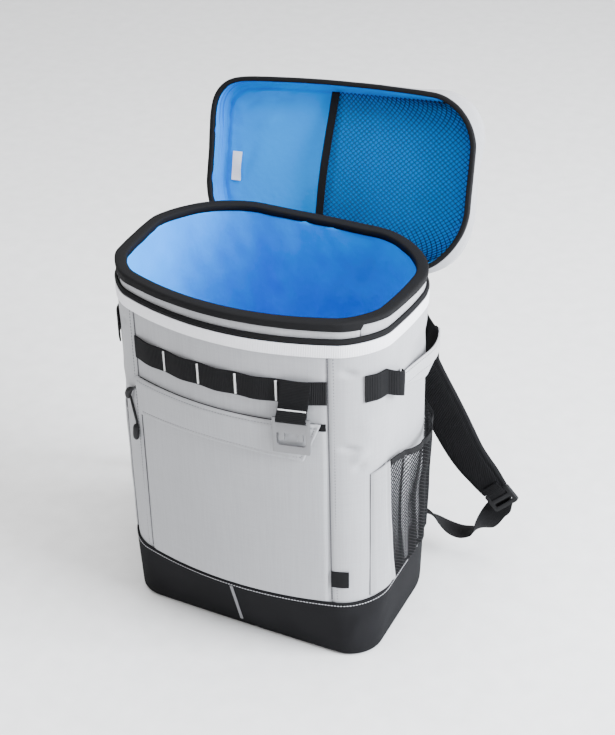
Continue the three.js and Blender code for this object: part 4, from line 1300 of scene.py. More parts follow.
# %% [markdown]
# A flat strap in space is a row of sections: a centre, a direction across and a direction through
# the cloth. One builder makes all flat webbings that hang free: the opener's, the lower ones, and
# those in the ladder locks. A second one makes a round cord from rings, for the zip's pull.


# %% Straps in space
def smooth_line(points, count):
    """Even places on a smooth line through points, which may carry any numbers."""
    points = np.asarray(points, float)
    before, after = 2 * points[0] - points[1], 2 * points[-1] - points[-2]
    knots = np.concatenate([[before], points, [after]])
    place = np.linspace(0, len(points) - 1, count)
    k = np.minimum(place.astype(int), len(points) - 2)
    t = (place - k)[:, None]
    a, b, c, d = knots[k], knots[k + 1], knots[k + 2], knots[k + 3]
    return 0.5 * (2 * b + (c - a) * t + (2 * a - 5 * b + 4 * c - d) * t**2 + (3 * b - a - 3 * c + d) * t**3)


def unit(v):
    return v / np.linalg.norm(v, axis=-1, keepdims=True)


def flat_strap(name, material, centre, across, through, width, thick, columns=9, wave=None):
    """A flat strap: rows across it, columns along. across and through are unit vectors."""
    v = fine_ends(-1, 1, columns, 0.14)
    half_width = 0.5 * width
    soft = thick * 0.5 * (0.55 + 0.45 * np.sqrt(1 - np.minimum(np.abs(v), 1) ** 8))
    grids = []
    for sign in (1, -1):
        rows = []
        for share, half in zip(v, soft):
            lift = np.full(len(centre), sign * half)
            if wave is not None:
                lift = lift + wave(share)
            rows.append(centre + across * (share * half_width) + through * lift[:, None])
        grids.append(np.stack(rows))
    return cloth_solid(name, grids[0], grids[1], material)


def strap_axes(centre, guide):
    """Across and through a strap along centre, where guide says roughly which way is across."""
    ahead = unit(np.gradient(centre, axis=0))
    across = unit(guide - ahead * (guide * ahead).sum(1, keepdims=True))
    return across, np.cross(across, ahead)


def round_cord(name, material, centre, radius, sides=12):
    """A closed round piece along centres with a radius for each."""
    ahead = unit(np.gradient(centre, axis=0))
    helper = np.array([0.2, 1.0, 0.1])
    one = unit(np.cross(ahead, helper))
    two = np.cross(ahead, one)
    turn = np.linspace(0, TURN, sides, endpoint=False)
    rings = centre[:, None] + radius[:, None, None] * (
        one[:, None] * np.cos(turn)[None, :, None] + two[:, None] * np.sin(turn)[None, :, None]
    )
    points = [*rings.reshape(-1, 3), centre[0], centre[-1]]
    faces = []
    for r in range(len(centre) - 1):
        for c in range(sides):
            d = (c + 1) % sides
            faces.append([r * sides + c, r * sides + d, (r + 1) * sides + d, (r + 1) * sides + c])
    last = (len(centre) - 1) * sides
    for c in range(sides):
        d = (c + 1) % sides
        faces.append([d, c, len(points) - 2])
        faces.append([last + c, last + d, len(points) - 1])
    return to_object(name, points, faces, material)


# %% [markdown]
# The opener hangs in a loop of webbing. The loop comes down behind the front webbing, turns under
# the opener's bar and goes up again, a little aslant, and one bar tack closes it above the bar.

# %% The opener's loop
BAR_Z = 301.5
OPENER_AT = np.array([73.493, -124.077, BAR_Z])
OPENER_TURN = math.radians(12.8)
LOOP = {"width": 29, "cloth": 1.4, "lean": 4.5, "drop": 39}
BEND = 2.147 + LOOP["cloth"] / 2 + 0.05
TOP_FRONT = -3.55
loop_rows = [(TOP_FRONT, LOOP["drop"] + 1), (TOP_FRONT, 25), (TOP_FRONT, LOOP["drop"] - WEB_TALL - 2)]
loop_rows += [(0.55 * TOP_FRONT + 0.45 * BEND, 2.8 * BEND), (0.1 * TOP_FRONT + 0.9 * BEND, 1.3 * BEND)]
loop_rows += [(BEND * math.cos(t), -BEND * math.sin(t)) for t in np.linspace(0, math.pi, 9)]
loop_rows += [(-BEND, 1.6 * BEND)]
loop_line = smooth_line(loop_rows, 90)
along_bar = np.array([math.cos(OPENER_TURN), math.sin(OPENER_TURN), 0])
to_viewer = np.array([math.sin(OPENER_TURN), -math.cos(OPENER_TURN), 0])
up = np.array([0, 0, 1.0])
lean = LOOP["lean"] * np.maximum(loop_line[:, 1], 0) / LOOP["drop"]
loop_centre = OPENER_AT + lean[:, None] * along_bar + loop_line[:, :1] * to_viewer + loop_line[:, 1:] * up
loop_ahead = unit(np.gradient(loop_centre, axis=0))
loop_across = np.broadcast_to(along_bar, loop_centre.shape)
loop_through = unit(np.cross(loop_ahead, loop_across))
opener_loop = flat_strap(
    "opener_webbing", black_webbing, loop_centre, loop_across, loop_through,
    LOOP["width"], LOOP["cloth"],
    wave=lambda share: 0.1 * uneven(loop_line[:, 1], 9 * share, 14),
)
ride(opener_loop, "black_webbing", "opener_loop")
sheet(opener_loop, 28)
tack_x = np.linspace(-LOOP["width"] / 2 + 1, LOOP["width"] / 2 - 1, 30)
tack_row = np.argmin(np.abs(loop_line[:60, 1] - 9.0))
tack_line = loop_centre[tack_row] + tack_x[:, None] * along_bar + 1.0 * to_viewer
tack_facing = np.broadcast_to(to_viewer, tack_line.shape)
loop_tack = tacks("opener_tack", [(tack_line, tack_facing)], white_thread, 2.8)
ride(loop_tack, "white_band")
print("opener webbing", triangles(opener_loop))

# %% [markdown]
# The zip's pull is a cord with two thicker grips on it, and it hangs in a slight sway. The tab in
# the right seam is a bare fold of tape.

# %% Zip pull and label tab
PULL_TOP = (-104.8, 281.0)
PULL_LENGTH, PULL_SWAY = 66, 13
PULL_ROWS = [
    (0, 0, 1.2), (0.08, 0.45, 1.2), (0.12, 0.7, 2.4), (0.16, 0.85, 2.9), (0.24, 1, 3.0), (0.28, 0.98, 2.4),
    (0.31, 0.93, 1.2), (0.45, 0.72, 1.2), (0.6, 0.52, 1.2), (0.72, 0.42, 1.2), (0.76, 0.4, 2.6),
    (0.84, 0.43, 2.9), (0.93, 0.47, 2.9), (0.98, 0.49, 2.4), (1, 0.5, 1.2),
]
pull_rows = smooth_line(PULL_ROWS, 90)
pull_x = PULL_TOP[0] - pull_rows[:, 1] * PULL_SWAY
pull_z = PULL_TOP[1] - pull_rows[:, 0] * PULL_LENGTH
pull_radius = 1.15 * np.maximum(pull_rows[:, 2], 1.1)
pull_line = wall(front(pull_x, pull_z), pull_z, 0.5 + pull_radius)
pull = round_cord("zip_pull_cord", black_plastic, pull_line, pull_radius)
ride(pull, "black_webbing", "zip_pull")

TAB = {"x": SEAM + 0.35, "width": 16, "low": 96, "tall": 20, "lift": 1.5}
tab_t, tab_v = fine_ends(0, 1, 16, 0.08)[None, :], fine_ends(0, 1, 14, 0.08)[:, None]
tab_x = TAB["x"] + 1.3 + tab_t * TAB["width"]
tab_z = TAB["low"] + tab_v * TAB["tall"]
tab_out = GAP + 1.1 + TAB["lift"] * tab_t + 0.15 * uneven(tab_x, tab_z, 20) - 0.4 * (1 - hump(tab_v) ** 0.2)
tab = patch("bare_tab", black_tape, front(tab_x, tab_z), tab_z, tab_out, 1.0)
ride(tab, "black_webbing", "label_tab")
sheet(tab, 16)
print("pull", triangles(pull), "tab", triangles(tab))

# %% [markdown]
# On each side hangs a pocket: a folded grey strip in front and a black net behind it, with a black
# tape along the mouth. The net sags off the wall in a few upright folds, which read as darker
# stripes. The left side is the mirror of the right one.

# %% The side pockets' shape
POCKET_FOOT = 78.5
SIDE_TOP = 230.5
STRIP = {"front": -82, "width": 19, "flare": 17, "lift": 2.4, "cloth": 1.5}
NET = {"back": 76, "across": 2.7, "up": 2.4, "radius": 0.66, "slack": 9, "dip": 12, "tape": 6.5}
NET_FOLDS = [(0.2, 0.035, 2.2), (0.44, 0.03, 1.5), (0.68, 0.06, 3.2), (0.86, 0.04, 1.6)]
MIRROR = {"left": -1, "right": 1}


def smooth_share(x, start, end):
    return np.clip((x - start) / (end - start), 0, 1)


def strip_back(v):
    return STRIP["front"] + STRIP["width"] + STRIP["flare"] * (1 - v) ** 2


def net_front(v):
    return strip_back(v) + 1.4


def net_place(t, v):
    """y and z on the net: t from its front to its back, v from the foot to its mouth."""
    top = SIDE_TOP + GAP - NET["dip"] * hump(0.5 * smooth_share(t, 0, 0.45))
    return net_front(v) + (NET["back"] - net_front(v)) * t, POCKET_FOOT + (top - POCKET_FOOT) * v


def net_out(t, v):
    slack = NET["slack"] * hump(0.1 + 0.8 * t) * (0.35 + 0.65 * v)
    folds = sum(d * np.exp(-(((t + 0.05 * np.sin(3 * v) - at) / w) ** 2)) for at, w, d in NET_FOLDS)
    return 0.9 + STRIP["lift"] + slack - folds * np.clip(4 * t, 0, 1) * np.clip(4 * (1 - t), 0, 1)


print("net at its foot and mouth", net_front(0), net_front(1), "to", NET["back"])

# %% [markdown]
# The net is knitted, so its threads run up in zigzags that touch at every other turn. The zigzags
# are lines of edges, and the strand tree makes them round. The strip's free edge is folded, and a
# dark row of thread under its front edge is painted shade of the seam.


# %% Side pockets
def side_patch(name, material, sign, y, z, out, thick):
    """A patch on one side: sign is 1 on the right and -1 on the left, y runs to the back."""
    return patch(name, material, sign * side(y, z), z, out, thick)


def net_mesh(name, place, columns, rows, radius, material):
    """Zigzag threads over place(t, v): a wave up each column that meets its neighbours."""
    points, edges = [], []
    for c in range(columns):
        v = np.linspace(0, 1, rows)
        t = (c + 0.5 + np.where(np.arange(rows) % 2 == c % 2, 0.5, -0.5)) / columns
        start = len(points)
        points.extend(place(t, v))
        edges.extend((start + k, start + k + 1) for k in range(rows - 1))
    return run_tree(name, strand_tree, strand_keys, points, edges, material, Radius=radius)


for side_name, sign in MIRROR.items():
    t, v = fine_ends(0, 1, 16, 0.06)[None, :], np.linspace(0, 1, 60)[:, None]
    y = STRIP["front"] + (strip_back(v) - STRIP["front"]) * t
    z = POCKET_FOOT + (SIDE_TOP + NET["tape"] * t - POCKET_FOOT) * v
    from_fold = (1 - t) * STRIP["width"]
    fold = 0.7 * np.exp(-((from_fold - 1.0) / 1.4) ** 2) - 0.7 * np.exp(-((from_fold - 3.4) / 0.8) ** 2)
    out = GAP + STRIP["cloth"] + STRIP["lift"] * t + 0.3 * uneven(y, z, 60, 4)
    out = out - sewn(t * STRIP["width"], 0.8, 1.5) + fold
    strip = side_patch(f"pocket_strip_{side_name}", panel_cloth, sign, y, z, out, STRIP["cloth"] - 0.1)
    ride(strip, "grey_cloth", f"side_panel_{side_name}")
    sheet(strip, 28)
    # Painted shade: a tight row of dark thread along the strip's front seam.
    edge_z = np.linspace(POCKET_FOOT + 1, SIDE_TOP - 0.5, 120)
    seam_shade_line = on_wall(sign * side(STRIP["front"] - 0.2, edge_z), edge_z, 0.35)
    strip_seam_painted_shade = stitches(f"pocket_strip_edge_{side_name}", [seam_shade_line], dark_thread_and_shade, 3.0, 4.2, 0.9, 0.8)
    ride(strip_seam_painted_shade, "grey_cloth")

    def on_net(t, v):
        y, z = net_place(t, v)
        return wall(sign * side(y, z), z, net_out(t, v))
    wide, tall = NET["back"] - net_front(0.5), SIDE_TOP - POCKET_FOOT
    net = net_mesh(
        f"pocket_net_{side_name}", on_net, round(wide / NET["across"]), round(tall / NET["up"]) | 1,
        NET["radius"], black_net,
    )
    ride(net, "black_net", f"side_net_{side_name}")
    sheet(net, tall)
    t, v = np.linspace(0, 1, 90)[None, :], fine_ends(0, 1, 5, 0.1)[:, None]
    y, z = net_place(t, 1.0 + 0 * v)
    z = z + GAP + v * NET["tape"]
    out = net_out(t, 1.0) + 0.8 + 0.2 * uneven(y, z, 40)
    tape = side_patch(f"pocket_tape_{side_name}", black_tape, sign, y, z, out, 1.1)
    ride(tape, "black_webbing", f"side_net_binding_{side_name}")
    sheet(tape, 12)
    print(side_name, "strip", triangles(strip), "net", triangles(net), "tape", triangles(tape))

# %% [markdown]
# Above the pocket sits a grip of wide webbing. Its front end is sewn flat, then it arches up and
# its back end goes under a grey wing. The left one lies flatter than the right one.

# %% Grips
GRIP_TOP, LEFT_RISE = 344, 0.3
GRIP = {"front": -87, "back": -40, "drop": 17, "tall": 29, "end_tall": 26, "rise": 3.4, "cloth": 1.8}

for side_name, sign in MIRROR.items():
    t, v = np.linspace(0, 1, 90)[None, :], fine_ends(0, 1, 14, 0.06)[:, None]
    tall = GRIP["tall"] + (GRIP["end_tall"] - GRIP["tall"]) * t
    y = GRIP["front"] + (GRIP["back"] - GRIP["front"]) * t
    z = GRIP_TOP - GRIP["drop"] * smooth_share(t, 0.42, 1.1) - tall * (1 - v)
    rise = GRIP["rise"] * (0.4 * hump(t / 0.45) + 2.6 * hump((t - 0.43) / 0.57) ** 0.7)
    rise = rise + 0.8 * hump(t) * (1 - v) + 0.3 * uneven(y, z, 26, 6) * hump(t)
    z = z + 11 * smooth_share(t, 0.72, 1) ** 3 * (1 - v) ** 2
    out = 0.7 + GRIP["cloth"] + rise * (1 if sign > 0 else LEFT_RISE)
    grip = side_patch(f"grip_webbing_{side_name}", black_webbing, sign, y, z, out, GRIP["cloth"] - 0.3)
    ride(grip, "black_webbing", f"grip_{side_name}")
    sheet(grip, 30)
print("grip", triangles(grip))

# %% [markdown]
# The wing is a stiff double cloth with a folded band along its top. It is sewn down in front and
# below and stands off at the back, and two rows of stitches follow its band.

# %% Wings
WING_TOP, WING_BAND, WING_ROW = 325, 18, 3.0
WING = {"front": -37, "back": 54, "drop": 8, "front_tall": 19, "back_tall": 48, "lift": 14, "cloth": 2.2}


def wing_place(t, below):
    """y, z, stand-off and height of the wing at t from front to back; below(tall) is from its top."""
    tall = WING["front_tall"] + (WING["back_tall"] - WING["front_tall"]) * t
    below = below(tall)
    lift = WING["lift"] * t**2 * smooth_share(1 - below / tall, 0, 0.55)
    y = WING["front"] + (WING["back"] - WING["front"]) * t
    return y, WING_TOP - WING["drop"] * t - below, lift, tall


for side_name, sign in MIRROR.items():
    t, v = np.linspace(0, 1, 80)[None, :], fine_ends(0, 1, 40, 0.04)[:, None]
    y, z, lift, tall = wing_place(t, lambda tall: (1 - v) * tall)
    below = (1 - v) * tall
    band_edge = 1.5 / (1 + np.exp((below - WING_BAND) / 0.4))
    seams = sewn(below - WING_BAND - 0.6, 0.6, 0.8) + sewn(below - WING_ROW, 0.5, 0.7)
    soft = 0.5 * uneven(y, z, 70, 9)
    out = GAP + WING["cloth"] - 0.7 + lift + band_edge - seams + soft - sewn(tall - below, 1.0, 1.5)
    wing = side_patch(f"wing_cloth_{side_name}", strip_cloth, sign, y, z, out, WING["cloth"] - 0.6)
    ride(wing, "grey_cloth", f"wing_{side_name}")
    sheet(wing, 48)

    wing_rows = []
    for gone, over in ((WING_ROW, 0.5), (WING_BAND, 0.1)):
        y, z, lift, tall = wing_place(np.linspace(0.02, 0.98, 90), lambda tall: np.minimum(gone, 0.8 * tall))
        thread_out = GAP + WING["cloth"] + lift + 0.5 * uneven(y, z, 70, 9) + over
        wing_rows.append(on_wall(sign * side(y, z), z, thread_out))
    wing_thread = stitches(f"wing_stitches_{side_name}", wing_rows, dark_thread_and_shade, 3.2, 2.3, 0.8, 0.7)
    ride(wing_thread, "grey_cloth")
print("wing", triangles(wing))

# %% [markdown]
# A short black tab ends the wing. From there a wide webbing leads back to the root of the shoulder
# strap. That webbing is a guess, made where black shows in the gap behind the wing.

# %% Wing ends and strap anchors
TAB_LENGTH, TAB_TALL = 3, 10
ANCHOR = {"from": (149.3, 56.5, 316.8), "to": (112, 101), "tall": (34, 52)}

for side_name, sign in MIRROR.items():
    t, v = np.linspace(0, 1, 14)[None, :], fine_ends(0, 1, 8, 0.1)[:, None]
    y = WING["back"] + 0.4 + t * TAB_LENGTH
    z = WING_TOP - WING["drop"] - TAB_TALL * (1 - v)
    out = GAP + WING["lift"] + 1.7 - 0.8 * t**2
    wing_tab = side_patch(f"wing_end_{side_name}", black_tape, sign, y, z, out, 1.4)
    ride(wing_tab, "black_webbing", f"wing_tab_{side_name}")
    sheet(wing_tab, 6)

    t, v = np.linspace(0, 1, 30)[:, None], fine_ends(0, 1, 20, 0.06)[None, :]
    x, y = (start + (end - start) * t for start, end in zip(ANCHOR["from"][:2], ANCHOR["to"]))
    tall = ANCHOR["tall"][0] + (ANCHOR["tall"][1] - ANCHOR["tall"][0]) * t
    z = ANCHOR["from"][2] - tall * (1 - v)
    x = x - 1.5 * hump(t) + 0.4 * uneven(60 * t, z, 30, 3)
    faces = [np.stack(np.broadcast_arrays(sign * (x + d), y + d, z), -1) for d in (0.7, -0.3)]
    anchor = cloth_solid(f"strap_anchor_{side_name}", *faces, black_webbing)
    ride(anchor, "black_webbing")
    sheet(anchor, 40)
print("wing end", triangles(wing_tab), "anchor", triangles(anchor))

# %% [markdown]
# The shoulder straps hang behind the bag and swing outwards. Each is a foam pad in a knitted cover
# with its edge bound in tape. The section is a flat pillow, and the cover dips at the seams beside
# the binding. The pad narrows towards its end, where it holds the ladder lock. A row holds three
# shares, of the way outwards, backwards and down, and then those of the full width and thickness.

# %% Shoulder straps
STRAP_AT = {"x": 86, "y": 96.9, "z": 316, "flare": 112, "back": 22, "drop": 222}
STRAP_WIDTH, STRAP_THICK = 54, 9
STRAP_ROWS = [
    (0, 0, 0, 1.05, 0.55), (0.06, 0.04, 0.1, 1.05, 0.9), (0.13, 0.3, 0.26, 1.03, 1), (0.26, 0.7, 0.44, 1, 1),
    (0.45, 0.92, 0.62, 0.93, 1), (0.67, 1, 0.82, 0.86, 0.95), (0.86, 1, 0.93, 0.78, 0.9),
    (1, 0.95, 1, 0.66, 0.6),
]
BOUND = 5.5
STRAP_PLACES = 150
strap_rows = smooth_line(STRAP_ROWS, STRAP_PLACES)


def strap_frame(sign):
    centre = np.stack([
        sign * (STRAP_AT["x"] + strap_rows[:, 0] * STRAP_AT["flare"]),
        STRAP_AT["y"] + strap_rows[:, 1] * STRAP_AT["back"],
        STRAP_AT["z"] - strap_rows[:, 2] * STRAP_AT["drop"],
    ], 1)
    ahead = unit(np.gradient(centre, axis=0))
    across = unit(np.cross(ahead, np.array([0, 1.0, 0])))
    return centre, across, unit(np.cross(across, ahead))


def strap_section(share, half, thick):
    """Height of the pad's face over its middle plane, share from -1 to 1 across."""
    from_edge = (1 - np.abs(share)) * half
    pillow = thick * (1 - 0.55 * np.abs(share) ** 3)
    seam = 0.9 * np.exp(-(((from_edge - BOUND) / 1.0) ** 2)) * (thick > 2)
    return pillow * np.clip(from_edge / 2.2, 0, 1) ** 0.5 - seam


for side_name, sign in MIRROR.items():
    centre, across, through = strap_frame(sign)
    half = 0.5 * STRAP_WIDTH * strap_rows[:, 3]
    thick = 0.5 * STRAP_THICK * strap_rows[:, 4]
    faces = [[], []]
    for share in fine_ends(-1, 1, 30, 0.2, (0, 0.1, 0.3, 0.6)):
        lift = np.maximum(strap_section(share, half, thick), 0.35)
        lift = lift + 0.25 * uneven(np.arange(STRAP_PLACES) * 1.8, 27 * share, 34, 5)
        for rows, flip in zip(faces, (1, -1)):
            rows.append(centre + across * (share * half)[:, None] + flip * through * lift[:, None])
    strap = cloth_solid(f"padded_strap_{side_name}", *map(np.stack, faces), black_knit)
    ride(strap, "black_webbing", f"strap_{side_name}")
print("strap", triangles(strap))

# %% [markdown]
# From each lock a thin webbing falls, bends into a slack bow, and comes back to the rear corner of
# the foot. Its places are the solid's own centres, so it stays where the frame has it. A row is a
# centre in millimetres and the direction across the webbing there.

# %% Lower webbing
BOW = [
    (206.2, 120.4, 85.9, 0.99, -0.04, -0.14), (205.0, 120.4, 76.5, 0.99, -0.05, -0.1),
    (204.2, 120.4, 71.9, 0.92, -0.05, -0.39), (200.9, 120.5, 67.7, 0.82, -0.02, -0.57),
    (196.8, 119.6, 60.6, 0.92, 0.06, -0.4), (191.5, 117.0, 49.9, 0.73, 0.32, -0.6),
    (187.0, 115.4, 43.8, 0.5, 0.62, -0.6), (181.6, 113.5, 38.0, 0.09, 0.9, -0.42),
    (175.6, 111.8, 33.8, -0.15, 0.97, -0.17), (163.5, 109.2, 31.2, -0.19, 0.98, -0.03),
    (150.3, 106.4, 35.2, -0.25, 0.97, -0.06), (136.9, 103.2, 45.0, -0.42, 0.86, -0.29),
    (127.6, 100.2, 52.2, -0.55, 0.55, -0.62), (119.0, 98.1, 55.0, -0.2, 0.4, -0.9),
    (108.6, 96.5, 54.6, 0.06, 0.16, -0.98), (99.2, 97.5, 54.0, 0.02, 0.05, -1.0),
    (89.9, 101.6, 54.0, 0.02, 0.07, -1.0), (81.2, 104.1, 54.0, 0.02, 0.08, -1.0),
]
BOW_WIDTH, BOW_CLOTH = 25, 1.4
bow = smooth_line(BOW, 180)
for side_name, sign in MIRROR.items():
    flip = np.array([sign, 1, 1])
    centre = bow[:, :3] * flip
    webbing_low = flat_strap(
        f"lower_webbing_{side_name}", black_webbing, centre,
        *strap_axes(centre, unit(bow[:, 3:]) * flip), BOW_WIDTH, BOW_CLOTH,
    )
    ride(webbing_low, "black_webbing", f"strap_webbing_{side_name}")
    sheet(webbing_low, BOW_WIDTH)
print("lower webbing", triangles(webbing_low))

# %% [markdown]
# Webbing is folded through each ladder lock, in front and behind, from the pad's end to the top of
# the lower webbing. These folds are a guess too, since the lock covers most of them.

# %% Webbing in the ladder locks
FOLD_WIDTH, FOLD_CLOTH, FOLD_ROWS = 22, 1.3, 24

for side_name, sign in MIRROR.items():
    pad, pad_across, pad_through = strap_frame(sign)
    bow_top = bow[:7, :3] * np.array([sign, 1, 1])
    lock_at = 0.5 * (pad[-1] + bow_top[0])
    for face_name, face in (("front", 1), ("rear", -1)):
        outwards = pad_through[-1] * face
        fold_line = smooth_line([
            pad[-9] + outwards * 4.2, pad[-1] + outwards * 3.4,
            lock_at + outwards * 3.2, bow_top[6] + outwards * 1.6,
        ], FOLD_ROWS)
        lock_fold = flat_strap(
            f"lock_fold_{face_name}_{side_name}", black_webbing, fold_line,
            *strap_axes(fold_line, np.repeat(pad_across[-1:], FOLD_ROWS, 0)), FOLD_WIDTH, FOLD_CLOTH,
        )
        ride(lock_fold, "black_webbing")
        sheet(lock_fold, FOLD_WIDTH)
print("lock fold", triangles(lock_fold))

# %% [markdown]
# The lid is a shallow padded tray that stands open behind the mouth. All its pieces are made in
# the tray's own frame, x along the hinge, y to the free edge, z out of the open tray, and only the
# finished points turn into place. Its outline is like the body's, with rounder corners.

# %% The lid's frame and outline
LID = {"half": 148.4, "depth": 183.1, "corner": 50.5, "bulge": 6.6, "side_bulge": 0, "shift": 0}
LID_BACK_CORNER = 76
LID_DEPTH = 28
LID_AT = Vector((5.2, 100.8, 338.6))
LID_TURN = (Matrix.Rotation(math.radians(70), 3, "X") @ Matrix.Rotation(math.radians(3.8), 3, "Z"))
lid_matrix = np.array(LID_TURN)
lid_outline = with_facing(half_outline(LID, LID_BACK_CORNER))
LID_GIRTH = lid_outline[-1, 4]
SQUARE, SQUARE_AT, SQUARE_REACH = 7.0, 140, 80


def corner_push(a):
    """The lid's free left corner is drawn out tighter than the right one."""
    return SQUARE * hump(0.5 + (a + SQUARE_AT) / SQUARE_REACH)


def lid_place(x, y, z):
    """From the lid's frame to the bag's, in millimetres."""
    local = np.stack(np.broadcast_arrays(x, y, z), -1)
    return local @ lid_matrix.T + np.array(LID_AT)


def lid_local(a, out):
    """x and y in the lid's frame, a along its outline from the middle of the free edge."""
    out = out + corner_push(a)
    x, y, nx, ny = (np.interp(np.abs(a), lid_outline[:, 4], lid_outline[:, c]) for c in range(4))
    return np.where(a < 0, -1, 1) * (x + nx * out), LID["depth"] / 2 - (y + ny * out)


LID_COLUMNS = 300
lid_a = LID_GIRTH * np.linspace(-1, 1, LID_COLUMNS + 1)[:-1]
print("lid girth", round(2 * LID_GIRTH), "mm")


def lid_bowl(profile, bend, shares=(), floor=None):
    """Rows of a tray: first a profile of (out, z), then floor(x, y, share) in shrinking rows."""
    rows = []
    for out, z in profile:
        z, out = bend(lid_a, np.full_like(lid_a, z), out)
        rows.append(lid_place(*lid_local(lid_a, out), z))
    x, y = lid_local(lid_a, profile[-1][0])
    middle = LID["depth"] / 2
    for share in shares:
        px, py = x * share, middle + (y - middle) * share
        rows.append(lid_place(px, py, floor(px, py, share)))
    return np.stack(rows)


def roll_profile(out, high, floor, radius, count=7, straight=8):
    """From the open edge down the wall and round a corner of the given radius to the floor."""
    rows = [(out, z) for z in np.linspace(high, floor + radius, straight)]
    for turn in np.linspace(0, math.pi / 2, count)[1:]:
        rows.append((out - radius * (1 - math.cos(turn)), floor + radius * (1 - math.sin(turn))))
    return rows


# %% [markdown]
# The tray's outside is grey cloth over foam, a little crowned. It bulges past its binding at the two
# right corners.

# %% Lid tray
LID_OUT, LID_WALL, LID_ROLL, LID_CROWN = -1.2, 1.9, 8, 4
SHELL_SHARES = np.linspace(0.97, 0.03, 22)
CORNER_AT = (138, LID_GIRTH - 132)


def shell_bend(a, z, out):
    puff = 1.5 + 7 * np.exp(-(((a - CORNER_AT[0]) / 42) ** 2)) + 6 * np.exp(-(((a - CORNER_AT[1]) / 40) ** 2))
    return z, out + 0.4 * uneven(a, 2 * z, 80, 4) + puff * smooth_share(-z, 2, 12)


def crown(px, py, share):
    return -LID_DEPTH - LID_CROWN * (1 - share**2) + 0.5 * uneven(px, py, 110, 2)


def raised(floor, rise):
    return lambda x, y, share: floor(x, y, share) + rise


shell_outer = lid_bowl(
    roll_profile(LID_OUT, -2.0, -LID_DEPTH, LID_ROLL), shell_bend, SHELL_SHARES, crown,
)
shell_inner = lid_bowl(
    roll_profile(LID_OUT - LID_WALL, -2.0, -LID_DEPTH + LID_WALL, LID_ROLL - 2),
    shell_bend, SHELL_SHARES, raised(crown, LID_WALL),
)
lid_shell = cloth_solid("lid_padding", shell_outer, shell_inner, grey_cloth, wrap=True, cap=True)
ride(lid_shell, "grey_cloth", "lid_shell")
print("lid shell", triangles(lid_shell))

# %% [markdown]
# The lining shows most: puckers where the binding gathers it, two slack folds that run along its
# skirt on the left, single creases across the skirt and the floor, and a floor that is tight in
# the middle. Each crease is a line of the list, from one place to another.

# %% Lid lining
LINER_OUT, LINER_FLOOR, LINER_CLOTH = -4.3, -23.0, 0.8
FLOOR_SHARES = np.linspace(0.985, 0.02, 46)
LID_FOLDS = [
    {"from": (-330, -2), "to": (-322, -24), "width": 5, "depth": 1.6},
    {"from": (-300, -2), "to": (-306, -24), "width": 4, "depth": -1.6},
    {"from": (-275, -3), "to": (-270, -24), "width": 4, "depth": 1.4},
]
FLOOR_FOLDS = [
    {"from": (-120, 168), "to": (-70, 176), "width": 2.5, "depth": 2.2},
    {"from": (-128, 150), "to": (-96, 166), "width": 3.0, "depth": -1.6},
    {"from": (-100, 160), "to": (-60, 168), "width": 2.5, "depth": -1.4},
    {"from": (-110, 130), "to": (-70, 150), "width": 5.0, "depth": 1.5},
    {"from": (-60, 30), "to": (-20, 120), "width": 9.0, "depth": 1.0},
    {"from": (-125, 60), "to": (-100, 130), "width": 6.0, "depth": -1.2},
]


def lining_bend(a, z, out):
    deep = np.clip(-z / 24, 0, 1)
    puckers = 0.7 * uneven(a, 0.2 * z, 12, 13) * np.exp(-(((z + 7) / 5) ** 2))
    folds = creases(a, z, LID_FOLDS)
    wave = 0.8 * uneven(a, 0.5 * z, 46, 1) * hump(deep)
    slack = np.clip((-a - 150) / 40, 0, 1) * np.clip((a + LID_GIRTH) / 60, 0, 1)
    pleat = -(z + 5.8 + 1.2 * np.sin(a / 31)) / 7.2
    wave = wave - slack * 2.6 * hump(pleat % 1) * (pleat > 0) * (pleat < 2)
    return z, out - 0.8 * hump(deep) + np.minimum(wave + puckers + folds, 0.15)


def lining_floor(px, py, share):
    folds = creases(px, py, FLOOR_FOLDS)
    puckers = 0.6 * uneven(px, py, 14, 8) * np.clip((share - 0.8) / 0.2, 0, 1)
    soft = 0.6 * uneven(px, py, 75, 10) * (1 - share**6)
    return LINER_FLOOR + 0.3 + soft + folds + np.maximum(puckers, -0.3)


lining_grids = [
    lid_bowl(
        roll_profile(LINER_OUT + deep, -1.2, LINER_FLOOR - 0.8 - deep, 8, 10, 16),
        lining_bend, FLOOR_SHARES, raised(lining_floor, -deep),
    ) for deep in (0, LINER_CLOTH)
]
lid_lining = cloth_solid("lid_lining", *lining_grids, lid_blue_painted_shade, wrap=True, cap=True)
ride(lid_lining, "blue_lining", "lid_liner")
sheet(lid_lining, 230)
print("lid lining", triangles(lid_lining))

# %% [markdown]
# The lid's binding is one black tape, folded over the tray's edge. Its two faces are the same
# profile, the inner one moved towards a line inside the fold.

# %% Lid binding
LEG = 6
lid_fold = np.array([
    (0.1, -LEG - 0.4), (0.4, -LEG + 0.8), (0.5, -3), *round_part((-1.0, -1.2), (1.5, 1.6), 0.2, 1.4),
    (-2.2, 0.45), *round_part((-3.3, -1.1), (-1.4, 1.5), 1.4, 0.1), (-4.7, -3.0), (-4.6, -5.2),
])
fold_inward = np.array([-2.1, -7.0]) - lid_fold
fold_inward[:, 0] *= np.where(lid_fold[:, 1] < -2, 1, 0.35)
fold_inward[:, 1] *= np.where(lid_fold[:, 1] < -2, 0.05, 1)
lid_fold_in = lid_fold + 0.9 * unit(fold_inward)


def binding_bend(a, z, out):
    wave = 0.2 * uneven(a, z, 50, 6) + 0.1 * uneven(a, z, 15, 16)
    return z + 0.6 * wave, out + wave


binding_grids = [lid_bowl(fold, binding_bend) for fold in (lid_fold, lid_fold_in)]
lid_binding = cloth_solid("lid_edge_tape", *binding_grids, black_tape, wrap=True)
ride(lid_binding, "black_webbing", "lid_binding")
sheet(lid_binding, 16)
print("lid binding", triangles(lid_binding))

